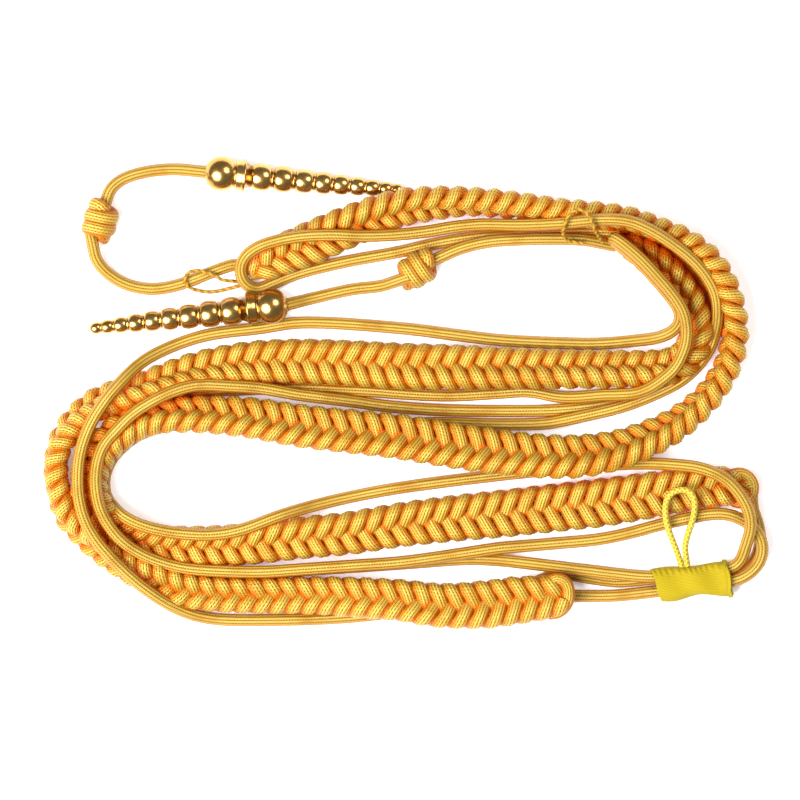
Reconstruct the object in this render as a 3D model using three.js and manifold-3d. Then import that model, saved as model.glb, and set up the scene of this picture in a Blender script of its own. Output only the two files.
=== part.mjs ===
// An aiguillette, the plaited gold shoulder cord of dress uniform, laid out on a table.
// Two plaits, a long one and a short one, leave a taped shoulder end. A doubled plain cord runs
// beside each of them, and each ends in a plain cord, a knot and a gilt tip.
// Millimetres, +Z up. The origin is on the table under the middle of the laid-out piece.
import * as THREE from 'three';
import { mergeVertices } from 'three/addons/utils/BufferGeometryUtils.js';
import Module from 'manifold-3d';

const wasm = await Module();
wasm.setup();

const CORD_WIDTH = 5.0;
const CORD_THICKNESS = 4.0;
const BUTTON_CORD_DIAMETER = 2.4;
const THREAD_DIAMETER = 1.6;
const CORD_SIDES = 8;
const BEND_LIMIT = 4;
const LONGEST_STEP = 36;

const PLAIT_THICKNESS = 10.4;
const PLAIT_USUAL_WIDTH = 20;
const PLAIT_FACE_SHARE = 0.625;
const PLAIT_END_RATIO = 0.75;
const LOBE_PITCH = 7.8;
const LOBE_DIP = 0.86;
const LOBE_SWEEP = 2.4;

const TIP_LENGTH = 80;
const TIP_NECK_RADIUS = 2.9;
const TIP_BALL_RADIUS = 7.0;
const TIP_BALL_MIDDLE = 6.8;
const TIP_BALL_REACH = 62;
const TIP_BEAD_FLAT = 0.28;
const TIP_WAIST_SHARE = 0.62;
const TIP_SIDES = 8;

const KNOT_LENGTH = 17;
const KNOT_RADIUS = 7.2;
const KNOT_END_RADIUS = 3;
const KNOT_TURNS = 3;
const KNOT_OUTER_TURN = 0.88;
const KNOT_SHOULDER = 0.93;
const KNOT_GROOVE = 0.7;
const KNOT_HEIGHT_RATIO = 0.84;

const TAPE_LENGTH = 31;
const TAPE_WIDTH = 14;
const TAPE_HEIGHT = 10.8;
const TAPE_WALL = 1;

const GAP = 0.3;

// The routes are measured from a point near the middle, and this brings the middle to the origin.
const TO_MIDDLE_X = 1.7;
const TO_MIDDLE_Y = 0.3;

// A table's rows as objects, so that each value is read by the name of its column.
function rows(columns, table) {
  const names = columns.split(' ');
  return table.map((row) => Object.fromEntries(names.map((name, i) => [name, row[i]])));
}

// Routes: x to the right, y away from the viewer, and under, the height of the underside
// above the table. A plait's row also has its roll in degrees, with the left-hand edge
// lifted, and its width when seen flat. Each route runs from the tip's end to the tape.
const LONG_BRAID = rows('x y under roll width', [
  [-62.4, 48.4, 0.8, 0, 7],
  [-58.4, 50.4, 0.4, 4, 13],
  [-52.8, 53.8, 0.2, 6, 17.5],
  [-46.4, 57, 0.2, 8, 19],
  [-39.2, 60, 0.2, 10, 19.6],
  [-23.2, 66.8, 0.2, 28, 19.6],
  [-3.2, 74, 0.2, 44, 19],
  [8.8, 75.8, 0.2, 55, 18.2],
  [24.8, 76.6, 0.2, 66, 17.6],
  [44.8, 74.8, 0.2, 68, 17.5],
  [60.8, 72.4, 0.2, 68, 17.5],
  [74.4, 71.2, 0.2, 68, 17.5],
  [87.4, 69.3, 0.2, 68, 17.5],
  [98.8, 65.4, 0.2, 68, 17.5],
  [111, 60.4, 0.2, 68, 17.5],
  [120.6, 53, 0.2, 68, 17.5],
  [126.8, 43, 0.2, 68, 17.5],
  [130.2, 31, 0.2, 68, 17.5],
  [130.6, 21.4, 0.2, 68, 17.5],
  [128.2, 11.8, 0.2, 68, 17.5],
  [122.8, 2.2, 0.2, 66, 17.6],
  [114.8, -6.6, 0.3, 62, 18],
  [105, -13.8, 0.8, 56, 18.6],
  [95, -18.6, 2, 50, 19.2],
  [84.8, -22.4, 3.5, 44, 19.8],
  [68.8, -25.2, 5.2, 34, 20.4],
  [52.8, -25.2, 5.3, 28, 20.4],
  [36.8, -23.6, 5.3, 22, 20.6],
  [16.8, -20.8, 5.3, 18, 20.6],
  [-3.2, -17.6, 5.3, 16, 20.4],
  [-43.2, -13.2, 5.3, 18, 19.6],
  [-63.2, -10, 5.2, 24, 18.8],
  [-83.2, -8.6, 3.8, 38, 17.8],
  [-99.2, -9.4, 3.6, 52, 17.2],
  [-107.6, -11.6, 3.8, 44, 17],
  [-114.4, -15, 5, 32, 17],
  [-120, -19.4, 5.3, 24, 17],
  [-124.6, -25.4, 5.3, 20, 17],
  [-127.2, -32, 5.3, 18, 17],
  [-127.6, -39, 5.2, 16, 17],
  [-125, -46.4, 4.2, 14, 17],
  [-119.8, -52.4, 3, 12, 17.2],
  [-111.6, -57.2, 1.4, 10, 17.8],
  [-101.2, -60.6, 0.3, 10, 18.2],
  [-87.2, -61.4, 0.2, 10, 18.4],
  [-67.2, -60.6, 0.2, 12, 18.8],
  [-43.2, -58, 0.2, 16, 19],
  [-23.2, -56, 0.2, 16, 19.4],
  [-3.2, -52.8, 0.2, 12, 20],
  [16.8, -50.4, 0.2, 6, 20.6],
  [36.8, -48.4, 0.2, 0, 21],
  [56.8, -46.2, 0.2, 0, 21.4],
  [76.8, -44, 0.2, 0, 21.6],
  [96.8, -41, 0.2, 0, 20.6],
  [116.8, -38.2, 0.2, 0, 20],
  [126, -37.6, 0.2, 0, 18.4],
  [133, -37.8, 0.2, 0, 14],
  [138.6, -38.6, 0.6, 0, 8],
]);

const SHORT_BRAID = rows('x y under roll width', [
  [83.6, 60.6, 0.6, 0, 7],
  [89.6, 58.2, 0.3, 0, 13],
  [96.4, 54.2, 0.2, 2, 15.4],
  [102.6, 49, 0.2, 6, 16],
  [108, 43, 0.2, 10, 16],
  [112.2, 36.6, 0.2, 14, 16],
  [114.6, 30, 0.2, 18, 16],
  [115.4, 23.4, 0.2, 22, 16.2],
  [113.2, 16.8, 0.2, 26, 16.4],
  [108.2, 12, 0.2, 30, 17],
  [98.8, 9.8, 0.2, 32, 17.4],
  [88.8, 9.6, 0.2, 32, 17.6],
  [60.8, 9.6, 0.2, 28, 18.4],
  [36.8, 10, 0.2, 22, 19.4],
  [16.8, 10.4, 0.2, 14, 20.4],
  [-3.2, 10.8, 0.2, 8, 20.8],
  [-23.2, 12, 0.2, 2, 20.4],
  [-43.2, 12.8, 0.2, 0, 20],
  [-63.2, 12.2, 0.4, 8, 19.2],
  [-83.2, 9, 1.4, 24, 18.2],
  [-95.2, 5.4, 2, 38, 17.6],
  [-103.2, 2.6, 2.2, 46, 17.4],
  [-112, -0.4, 2, 50, 17.2],
  [-120.9, -2.8, 1.4, 52, 17.2],
  [-126.2, -5.6, 0.8, 54, 17.2],
  [-130.8, -9.2, 0.4, 58, 17],
  [-135.2, -13.8, 0.2, 62, 17],
  [-138.8, -19.4, 0.2, 68, 17],
  [-140.6, -25.6, 0.2, 72, 17],
  [-141, -31.6, 0.2, 72, 17],
  [-140, -38, 0.2, 72, 17],
  [-138.4, -44.4, 0.2, 70, 17],
  [-135.4, -50.4, 0.2, 66, 17],
  [-130.4, -55.4, 0.2, 62, 17],
  [-124.8, -60.2, 0.2, 56, 17],
  [-118.8, -64.4, 0.2, 50, 17],
  [-112.2, -68.8, 0.2, 42, 17],
  [-102.8, -73.6, 0.2, 30, 16.8],
  [-93, -77.6, 0.2, 16, 16.4],
  [-83.2, -79.8, 0.2, 4, 16.2],
  [-63.2, -81, 0.2, 0, 16.4],
  [-43.2, -81, 0.4, 0, 17],
  [-23.2, -81.6, 2.4, -4, 18],
  [-3.2, -83, 4.4, -4, 19],
  [12.8, -85, 5.3, 0, 20],
  [30.8, -84.6, 5.3, 0, 21.6],
  [42, -83.2, 5.3, 0, 21.6],
  [54, -81.8, 5.3, 0, 20],
  [60.8, -80.8, 5.3, 0, 17.6],
  [65, -80.2, 5.3, 0, 13],
  [66.8, -80, 5.5, 0, 8],
]);

const LONG_LOOP_UPPER = rows('x y under', [
  [-60.2, 41.4, 0.7],
  [-63.2, 42.2, 1.6],
  [-66.2, 45.2, 4],
  [-67.2, 50, 6.4],
  [-65.2, 54.6, 8],
  [-60, 58.4, 10.2],
  [-52.8, 60.8, 11.2],
  [-43.2, 62.6, 11.4],
  [-31.2, 63.2, 11.2],
  [-17, 62.8, 9.6],
  [-3.2, 63.4, 7.4],
  [8.8, 64.8, 5.4],
  [18, 66.4, 4.7],
  [28.8, 67.4, 5.4],
  [44.8, 67.2, 9.6],
  [60.8, 67.8, 13.6],
  [76.8, 69.2, 16.6],
  [88, 68.6, 17.2],
  [97.6, 64.6, 16.6],
  [105.6, 59.6, 15],
  [114, 53, 13],
  [120, 45.8, 11.4],
  [123.2, 39.2, 9.6],
  [124, 30.8, 6.6],
  [123, 24, 4.8],
  [120.8, 18, 4.7],
  [116.4, 11.4, 4.7],
  [109.2, 4.8, 4.7],
  [96.8, -1.4, 4.7],
  [84.8, -5.8, 4.7],
  [71.2, -9, 4.6],
  [62, -11, 3.2],
  [54.8, -12.2, 0.6],
  [34.8, -12.6, 0.3],
  [12.8, -12, 0.3],
  [-3.2, -12.6, 0.3],
  [-23.2, -12.4, 0.3],
  [-43.2, -11.6, 0.3],
  [-63.2, -11.4, 0.3],
  [-83.2, -11.8, 0.3],
  [-97.2, -13.4, 0.3],
  [-107, -16.4, 0.3],
  [-114.6, -21.6, 0.3],
  [-119.8, -28, 0.3],
  [-121.8, -34.8, 0.5],
  [-121.2, -40.8, 2.8],
  [-117.8, -45.6, 8],
  [-113.6, -49.4, 12.6],
  [-107.6, -52.4, 14],
  [-97.2, -55.2, 13.2],
  [-79.2, -56.6, 11.8],
  [-67.2, -54.8, 11.4],
  [-51.2, -49, 9.4],
  [-36, -44.6, 4],
  [-20, -41, 0.5],
  [-3.2, -38, 0.3],
  [28.8, -33.8, 0.3],
  [60.8, -30.4, 0.3],
  [80, -28.8, 0.6],
  [94, -28.2, 3.4],
  [105, -28.6, 7.6],
  [116.8, -30, 10.8],
  [126, -33.8, 11.6],
  [132.4, -40.2, 11.8],
  [136.2, -47.4, 11.6],
  [137, -54, 10.6],
  [135, -61.4, 7.6],
  [132.8, -67.8, 5.9],
  [129.2, -70.2, 5.5],
  [113.2, -71.7, 5.5],
]);

const LONG_LOOP_LOWER = rows('x y under', [
  [-58.6, 42, 0.6],
  [-54.8, 43.6, 0.4],
  [-49.2, 46, 0.3],
  [-43.2, 48.2, 0.3],
  [-31.2, 51.2, 0.3],
  [-22, 53.2, 0.3],
  [-3.2, 56.6, 0.3],
  [8.8, 59.4, 0.3],
  [20.8, 61.6, 0.3],
  [32.8, 63, 0.3],
  [44.8, 63.8, 0.3],
  [60.8, 64.4, 0.3],
  [76.8, 64.4, 0.3],
  [88, 63.6, 0.3],
  [97.6, 60.6, 0.3],
  [105.6, 56.6, 0.3],
  [113, 50.4, 0.3],
  [118.6, 42.8, 0.3],
  [121.4, 34.4, 0.3],
  [121.6, 25.6, 0.3],
  [119.2, 17.2, 0.3],
  [114.4, 10, 0.3],
  [106, 3, 0.3],
  [96.8, -0.8, 0.3],
  [86.8, -3, 0.3],
  [76.8, -5, 0.3],
  [60.8, -6.8, 0.3],
  [24.8, -7.1, 0.3],
  [4.8, -6.4, 0.3],
  [-11.2, -5, 0.3],
  [-19.2, -3.8, 1.4],
  [-27.2, -2.8, 3.6],
  [-35.2, -1.8, 4.7],
  [-43.2, -0.8, 5.2],
  [-59.2, 2, 8],
  [-70.8, 2.8, 10.6],
  [-84, 3.2, 12.8],
  [-92.4, 1.2, 14.6],
  [-101.2, -2.8, 16],
  [-110, -8.4, 17],
  [-116.4, -14.8, 17.2],
  [-122, -21.6, 16.8],
  [-124.6, -30.8, 16.6],
  [-124.6, -38.8, 16.4],
  [-122.8, -46.8, 16],
  [-118.6, -54.2, 15],
  [-113.4, -60, 13],
  [-106, -64.8, 10.6],
  [-99.2, -67.6, 9],
  [-91.2, -69.8, 8],
  [-83.2, -70.8, 7.6],
  [-59.2, -71.6, 7.6],
  [-43.2, -70.6, 7.4],
  [-20, -69, 6],
  [-3.2, -67.8, 4.7],
  [24, -64, 4.7],
  [36, -62.2, 4],
  [48, -61.2, 1.6],
  [60, -60.2, 0.5],
  [76.8, -58.6, 0.6],
  [90, -55.8, 2.6],
  [100.8, -52.8, 5],
  [112, -50.2, 6.4],
  [120, -48.6, 6.8],
  [128, -48.6, 6.6],
  [135.2, -51.6, 6.4],
  [140.4, -56.6, 6],
  [142, -62.4, 5.7],
  [140.4, -68.4, 5.5],
  [135.4, -73.2, 5.5],
  [128.6, -75.6, 5.5],
  [113.7, -76.9, 5.5],
]);

const SHORT_LOOP_UPPER = rows('x y under', [
  [81.4, 62.6, 8.6],
  [82.6, 62.2, 10.2],
  [85, 60.4, 11.4],
  [87.8, 58.2, 12.4],
  [93.8, 52.8, 13.8],
  [100.3, 45.7, 14.9],
  [105.8, 39.2, 15.6],
  [109.8, 32.8, 16],
  [111.2, 27.2, 16.2],
  [111.2, 21.2, 15.8],
  [109.6, 15.6, 15],
  [106.4, 9.6, 14.8],
  [100.8, 4.8, 13.8],
  [96.8, 2, 11.8],
  [90.8, -0.2, 9.6],
  [84.8, -0.6, 8.2],
  [76.8, -0.8, 5],
  [68.8, -1.6, 2.8],
  [60.8, -1.6, 0.5],
  [48.4, 0.6, 0.3],
  [36.8, 0, 0.3],
  [16.8, -1, 0.3],
  [-0.8, -0.3, 0.3],
  [-12, 0.6, 0.3],
  [-23.2, 1.2, 0.3],
  [-43.2, 2, 0.3],
  [-63.2, 1.6, 0.3],
  [-83.2, 0.4, 0.3],
  [-95.2, -1.4, 0.3],
  [-104, -4.4, 0.3],
  [-113.2, -9.4, 0.3],
  [-121, -15.4, 0.3],
  [-127.4, -22.4, 0.3],
  [-131, -29.4, 0.3],
  [-131.8, -37, 0.3],
  [-130, -45, 0.3],
  [-125.6, -53, 0.3],
  [-119, -60, 0.3],
  [-111.2, -65, 0.3],
  [-103.2, -68.2, 0.3],
  [-95.2, -70.2, 0.3],
  [-87.2, -71.2, 0.3],
  [-59.2, -72, 0.3],
  [-43.2, -71, 0.3],
  [-3.2, -68.4, 0.3],
  [24.4, -66.6, 0.3],
  [36, -67, 0.8],
  [48, -68.2, 2.6],
  [60, -69.6, 4.6],
  [72, -71, 4.8],
  [84, -72.4, 5.2],
  [97.3, -73.5, 5.5],
  [112.2, -72.1, 5.5],
]);

const SHORT_LOOP_LOWER = rows('x y under', [
  [82.4, 61, 5.2],
  [86.8, 57.4, 7.7],
  [92.8, 52, 9.5],
  [99.3, 44.9, 10.6],
  [104.8, 38.4, 11.3],
  [108.8, 32, 11.6],
  [107.8, 26.6, 9.8],
  [103, 23.2, 6.4],
  [98, 21.8, 2.6],
  [92.8, 21.2, 0.6],
  [76.8, 19.8, 0.3],
  [60.8, 20, 0.3],
  [36.8, 21.2, 0.3],
  [16.8, 23.6, 0.3],
  [-3.2, 26, 0.3],
  [-43.2, 28.2, 0.3],
  [-59.2, 26, 0.3],
  [-79.6, 23.4, 0.5],
  [-92.4, 19.6, 2],
  [-105.6, 13, 7.6],
  [-114.4, 4.8, 14.6],
  [-120.8, -2.8, 17],
  [-127, -12.8, 17.2],
  [-130.6, -22.8, 17.2],
  [-131.8, -31.8, 17],
  [-131.4, -41.8, 17],
  [-129, -50.8, 17.2],
  [-124.6, -58.8, 17.2],
  [-119, -65.4, 16.8],
  [-111.4, -73, 14],
  [-103.4, -79.6, 10.4],
  [-95, -85, 5.8],
  [-87, -88.6, 2.4],
  [-79, -90.4, 0.5],
  [-71.2, -91, 0.3],
  [-43.2, -90.8, 0.3],
  [-23.2, -89.8, 0.3],
  [-3.2, -87.6, 0.3],
  [16.8, -86, 0.3],
  [36.8, -83, 0.3],
  [50, -81.2, 0.3],
  [60, -81, 0.3],
  [72, -81.4, 0.3],
  [82, -81.3, 0.6],
  [90, -80.6, 1.6],
  [98, -79.6, 2.9],
  [112.7, -78.2, 3],
]);

const LONG_TAIL = rows('x y under', [
  [137.2, -46, 1.6],
  [140, -51.6, 0.5],
  [141.2, -59, 0.3],
  [139.6, -66, 0.4],
  [134.6, -71.4, 0.9],
  [128.4, -73, 1.2],
  [113.4, -74.4, 1.2],
]);

const SHORT_TAIL = rows('x y under', [
  [60, -72.8, 0.4],
  [64.8, -72.8, 0.4],
  [70, -73.6, 0.4],
  [76, -74.6, 0.5],
  [84, -75.5, 0.8],
  [97.4, -74.4, 1.2],
  [112.3, -73, 1.2],
]);

const LONG_TIP_CORD = rows('x y under', [
  [-63.2, 48.8, 1.2],
  [-68.4, 51.6, 0.6],
  [-75.6, 49.6, 0.3],
  [-83.6, 46.4, 0.3],
  [-94, 42.8, 0.3],
  [-103.2, 41.6, 0.3],
  [-113.2, 43.6, 0.3],
  [-120.4, 48, 0.8],
  [-124.8, 53.2, 2.6],
  [-126.1, 58.7, 4.1],
]);

const LONG_END_CORD = rows('x y under', [
  [-120.9, 76.8, 4.2],
  [-119.4, 81.4, 3.6],
  [-115, 85.4, 2],
  [-106, 88.4, 1],
  [-94, 89.6, 2],
  [-82, 88.5, 5.4],
]);

const SHORT_TIP_CORD = rows('x y under', [
  [79.6, 59.6, 2],
  [70.8, 61.2, 4.7],
  [60.8, 61.6, 4.9],
  [44.8, 61.4, 4.9],
  [31.6, 60.4, 4.8],
  [20.8, 57.8, 4],
  [10.9, 53.5, 4.2],
]);

const SHORT_END_CORD = rows('x y under', [
  [-5.5, 44.5, 4.2],
  [-11, 42.8, 1],
  [-22, 41.6, 0.3],
  [-37.2, 38.2, 1],
  [-47.2, 35.7, 5.2],
]);

const BUTTON_LOOP = rows('x y under', [
  [108.8, -67, 6.2],
  [107.2, -62.4, 8.4],
  [104.4, -55.4, 10.8],
  [103, -49.6, 11.6],
  [102.9, -44.5, 11.8],
  [104.5, -40.7, 12],
  [107.7, -38.8, 12],
  [111.5, -38.8, 12],
  [114.2, -41.3, 12],
  [114.6, -46.4, 11.8],
  [113.6, -51.5, 11.4],
  [111.8, -56.6, 10.6],
  [110.8, -61.4, 8.8],
  [111.4, -66.6, 6.4],
]);

const LONG_THREAD_LOOP = rows('x y under', [
  [-69.9, 44.8, 3.4],
  [-74.4, 45.2, 4.4],
  [-77.6, 47.2, 4.7],
  [-81.2, 48.4, 4.7],
  [-84.8, 49.2, 4.7],
  [-88.4, 48, 4.7],
  [-89.4, 45.2, 4.9],
  [-87.6, 42.2, 2.6],
  [-84.8, 41.2, 1.2],
  [-79.6, 40.4, 0.4],
  [-74.4, 41.2, 1],
  [-69.6, 42.4, 2.4],
]);

const SHORT_THREAD_LOOP = rows('x y under', [
  [77.6, 60.8, 11],
  [75.6, 63.6, 16.6],
  [74, 66.6, 21],
  [72, 71, 21.4],
  [68.2, 73.4, 21],
  [64.4, 71.2, 20],
  [62.4, 66.6, 18.8],
  [62, 63.4, 14.4],
  [64, 61, 10],
  [69, 60, 9.8],
  [75.4, 57.4, 8],
]);

// A plait is thinner where it starts and ends.
function plaitThickness(width) {
  return Math.min(PLAIT_THICKNESS, PLAIT_END_RATIO * width);
}

// How far a plait of this width, rolled by this angle, reaches up and down from its middle.
function halfHeight(roll, width) {
  const lean = Math.abs(Math.sin(roll));
  const upright = Math.abs(Math.cos(roll));
  const face = (PLAIT_FACE_SHARE * width * lean + plaitThickness(width) * upright) / 2;
  return Math.max((width / 2) * lean, face);
}

// A smooth line through a route, whose crosswise direction always stays level, with
// stations that come closer together where it bends.
class LaidPath extends THREE.CatmullRomCurve3 {
  constructor(route, middleHeight) {
    super(route.map((row) => new THREE.Vector3(row.x, row.y, row.under + middleHeight(row))));
    this.arcLengthDivisions = 60 * route.length;
    this.stations = [0];
  }

  spaceEvenly(step) {
    const count = Math.max(2, Math.round(this.getLength() / step));
    this.stations = Array.from({ length: count + 1 }, (_, i) => i / count);
    return this;
  }

  // A step ends where its length times its turn in radians reaches the limit.
  spaceByBend(limit, longest) {
    const length = this.getLength();
    const count = Math.ceil(length);
    let from = 0;
    let heading = this.getTangentAt(0);
    for (let i = 1; i < count; i++) {
      const u = i / count;
      const tangent = this.getTangentAt(u);
      const step = (u - from) * length;
      if (step * heading.angleTo(tangent) > limit || step > longest) {
        this.stations.push(u);
        from = u;
        heading = tangent;
      }
    }
    this.stations.push(1);
    return this;
  }

  getSpacedPoints() {
    return this.stations.map((u) => this.getPointAt(u));
  }

  computeFrenetFrames() {
    const up = new THREE.Vector3(0, 0, 1);
    const tangents = this.stations.map((u) => this.getTangentAt(u));
    const normals = tangents.map((t) => new THREE.Vector3().crossVectors(up, t).normalize());
    const binormals = tangents.map((t, i) => new THREE.Vector3().crossVectors(t, normals[i]));
    return { tangents, normals, binormals };
  }
}

function ovalShape(width, height, sides) {
  const shape = new THREE.Shape();
  for (let i = 0; i < sides; i++) {
    const angle = (2 * Math.PI * i) / sides;
    const x = (width / 2) * Math.cos(angle);
    const y = (height / 2) * Math.sin(angle);
    if (i === 0) shape.moveTo(x, y);
    else shape.lineTo(x, y);
  }
  shape.closePath();
  return shape;
}

function cordGeometry(route, width, thickness) {
  const limit = Math.min(BEND_LIMIT, width);
  const path = new LaidPath(route, () => thickness / 2).spaceByBend(limit, LONGEST_STEP);
  const steps = path.stations.length - 1;
  const shape = ovalShape(width, thickness, CORD_SIDES);
  return new THREE.ExtrudeGeometry(shape, { steps, extrudePath: path });
}

// A plain cord with room around it: a six-sided tube that a rounder, wider cord would fit in.
function roomForCord(route) {
  const path = new LaidPath(route, () => CORD_THICKNESS / 2).spaceByBend(BEND_LIMIT, LONGEST_STEP);
  const steps = path.stations.length - 1;
  const outwards = 1 / Math.cos(Math.PI / 6);
  const width = (CORD_WIDTH + 2 * GAP) * outwards;
  const shape = ovalShape(width, (CORD_THICKNESS + 2 * GAP) * outwards, 6);
  return new THREE.ExtrudeGeometry(shape, { steps, extrudePath: path });
}

// The solid inside a ring of section points per station, closed with a fan at each end.
function loftGeometry(rings) {
  const sides = rings[0].length;
  const positions = rings.flat().flatMap((p) => [p.x, p.y, p.z]);
  const index = [];
  for (let i = 0; i + 1 < rings.length; i++) {
    for (let j = 0; j < sides; j++) {
      const a = i * sides + j;
      const b = i * sides + ((j + 1) % sides);
      index.push(a, b, b + sides, a, b + sides, a + sides);
    }
  }
  const last = (rings.length - 1) * sides;
  for (let j = 1; j + 1 < sides; j++) {
    index.push(0, j + 1, j, last, last + j, last + j + 1);
  }
  const geometry = new THREE.BufferGeometry();
  geometry.setAttribute('position', new THREE.Float32BufferAttribute(positions, 3));
  geometry.setIndex(index);
  return geometry;
}

// A plait: two columns of lobes that take turns along its edges and slant along it, with a
// flat face above and below.
function plaitGeometry(route, sweepDirection, extra = 0) {
  const turned = route.map((row) => ({ ...row, roll: THREE.MathUtils.degToRad(row.roll) }));
  const path = new LaidPath(turned, (row) => halfHeight(row.roll, row.width));
  path.spaceEvenly(LOBE_PITCH / 2);
  const { tangents, normals, binormals } = path.computeFrenetFrames();
  const rings = path.stations.map((u, i) => {
    const place = path.getUtoTmapping(u) * (turned.length - 1);
    const before = Math.min(Math.floor(place), turned.length - 2);
    const share = place - before;
    const roll = THREE.MathUtils.lerp(turned[before].roll, turned[before + 1].roll, share);
    const width = THREE.MathUtils.lerp(turned[before].width, turned[before + 1].width, share);
    const middle = path.getPointAt(u);
    const side = normals[i].clone().multiplyScalar(Math.cos(roll))
      .addScaledVector(binormals[i], Math.sin(roll));
    const top = binormals[i].clone().multiplyScalar(Math.cos(roll))
      .addScaledVector(normals[i], -Math.sin(roll));
    const high = plaitThickness(width) / 2 + extra;
    const right = i % 2 ? LOBE_DIP : 1;
    const left = i % 2 ? 1 : LOBE_DIP;
    const slant = (sweepDirection * LOBE_SWEEP * width) / PLAIT_USUAL_WIDTH;
    const wide = width / 2 + extra;
    const face = (PLAIT_FACE_SHARE * width + extra) / 2;
    const section = [
      [-wide * right, 0, slant],
      [-face * right, -high * right, slant / 2],
      [face * left, -high * left, slant / 2],
      [wide * left, 0, slant],
      [face * left, high * left, slant / 2],
      [-face * right, high * right, slant / 2],
    ];
    return section.map(([across, up, along]) => middle.clone()
      .addScaledVector(side, across)
      .addScaledVector(top, up)
      .addScaledVector(tangents[i], along));
  });
  return loftGeometry(rings);
}

// The gilt tip's outline: a ball, a waist, a flared collar and nine beads that get smaller.
const TIP_BEADS = rows('place radius', [
  [22.7, 5.6],
  [31.3, 5.3],
  [39.9, 4.9],
  [47.6, 4.55],
  [54.7, 4.15],
  [61.4, 3.8],
  [67.5, 3.35],
  [72.9, 2.85],
  [77.4, 2.45],
]);

function tipGeometry() {
  const outline = [[0, 0], [TIP_NECK_RADIUS, 0]];
  for (let i = -2; i <= 2; i++) {
    const angle = THREE.MathUtils.degToRad((TIP_BALL_REACH * i) / 2);
    const up = TIP_BALL_MIDDLE + TIP_BALL_RADIUS * Math.sin(angle);
    outline.push([TIP_BALL_RADIUS * Math.cos(angle), up]);
  }
  outline.push([3.6, 13.6], [4.2, 14.2], [6.6, 15], [6.6, 15.8], [4.6, 16.8], [4.2, 18.4]);
  TIP_BEADS.forEach(({ place, radius }, i) => {
    const next = TIP_BEADS[i + 1];
    const flat = radius * TIP_BEAD_FLAT;
    outline.push([radius, place - flat], [radius, place + flat]);
    if (next) outline.push([next.radius * TIP_WAIST_SHARE, (place + next.place) / 2]);
  });
  outline.push([1.1, TIP_LENGTH - 0.4], [0, TIP_LENGTH]);
  return new THREE.LatheGeometry(outline.map(([r, s]) => new THREE.Vector2(r, s)), TIP_SIDES);
}

// A barrel knot: the cord wrapped around itself, with the middle turn the largest.
function knotGeometry() {
  const outline = [[0, 0], [KNOT_END_RADIUS, 0]];
  const turn = KNOT_LENGTH / KNOT_TURNS;
  for (let i = 0; i < KNOT_TURNS; i++) {
    const radius = i === 1 ? KNOT_RADIUS : KNOT_RADIUS * KNOT_OUTER_TURN;
    const shoulder = radius * KNOT_SHOULDER;
    outline.push([shoulder, turn * (i + 0.22)], [radius, turn * (i + 0.5)]);
    outline.push([shoulder, turn * (i + 0.78)]);
    if (i + 1 < KNOT_TURNS) outline.push([KNOT_RADIUS * KNOT_GROOVE, turn * (i + 1)]);
  }
  outline.push([KNOT_END_RADIUS, KNOT_LENGTH], [0, KNOT_LENGTH]);
  return new THREE.LatheGeometry(outline.map(([r, s]) => new THREE.Vector2(r, s)), TIP_SIDES);
}

// The tape sleeve, open at both ends, that binds the cords together at the shoulder.
function tapeGeometry() {
  const outer = new THREE.Shape();
  roundedRectangle(outer, TAPE_WIDTH, TAPE_HEIGHT, 3);
  const inner = new THREE.Path();
  roundedRectangle(inner, TAPE_WIDTH - 2 * TAPE_WALL, TAPE_HEIGHT - 2 * TAPE_WALL, 2);
  outer.holes.push(inner);
  const sleeve = new THREE.ExtrudeGeometry(outer, {
    depth: TAPE_LENGTH, bevelEnabled: false, curveSegments: 3,
  });
  sleeve.translate(0, 0, -TAPE_LENGTH / 2);
  sleeve.rotateX(Math.PI / 2);
  sleeve.rotateZ(Math.PI / 2);
  return sleeve;
}

function roundedRectangle(path, width, height, radius) {
  const x = width / 2 - radius;
  const y = height / 2 - radius;
  path.moveTo(-x, -y - radius);
  path.lineTo(x, -y - radius);
  path.absarc(x, -y, radius, -Math.PI / 2, 0, false);
  path.absarc(x, y, radius, 0, Math.PI / 2, false);
  path.absarc(-x, y, radius, Math.PI / 2, Math.PI, false);
  path.absarc(-x, -y, radius, Math.PI, 1.5 * Math.PI, false);
}

const goldCord = new THREE.MeshStandardMaterial({ color: 0xe8a41c, roughness: 0.5 });
const giltMetal = new THREE.MeshStandardMaterial({ color: 0xd9a83c, roughness: 0.2, metalness: 1 });
const lemonTape = new THREE.MeshStandardMaterial({ color: 0xe9c81f, roughness: 0.7 });
const paleCord = new THREE.MeshStandardMaterial({ color: 0xf2d662, roughness: 0.6 });

// The pieces, put together.
const aiguillette = new THREE.Group();
aiguillette.position.set(TO_MIDDLE_X, TO_MIDDLE_Y, 0);

function add(name, geometry, material) {
  const mesh = new THREE.Mesh(geometry, material);
  mesh.name = name;
  aiguillette.add(mesh);
  return mesh;
}

// Points a lathed piece, which stands along +Y, from one place towards another.
function aim(mesh, from, to) {
  mesh.position.copy(from);
  const direction = new THREE.Vector3().subVectors(to, from).normalize();
  mesh.quaternion.setFromUnitVectors(new THREE.Vector3(0, 1, 0), direction);
}

const plainCords = {
  long_loop_upper: LONG_LOOP_UPPER,
  long_loop_lower: LONG_LOOP_LOWER,
  short_loop_upper: SHORT_LOOP_UPPER,
  short_loop_lower: SHORT_LOOP_LOWER,
  long_tail: LONG_TAIL,
  short_tail: SHORT_TAIL,
  long_tip_cord: LONG_TIP_CORD,
  long_end_cord: LONG_END_CORD,
  short_tip_cord: SHORT_TIP_CORD,
  short_end_cord: SHORT_END_CORD,
};
for (const [name, route] of Object.entries(plainCords)) {
  add(name, cordGeometry(route, CORD_WIDTH, CORD_THICKNESS), goldCord);
}

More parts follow.
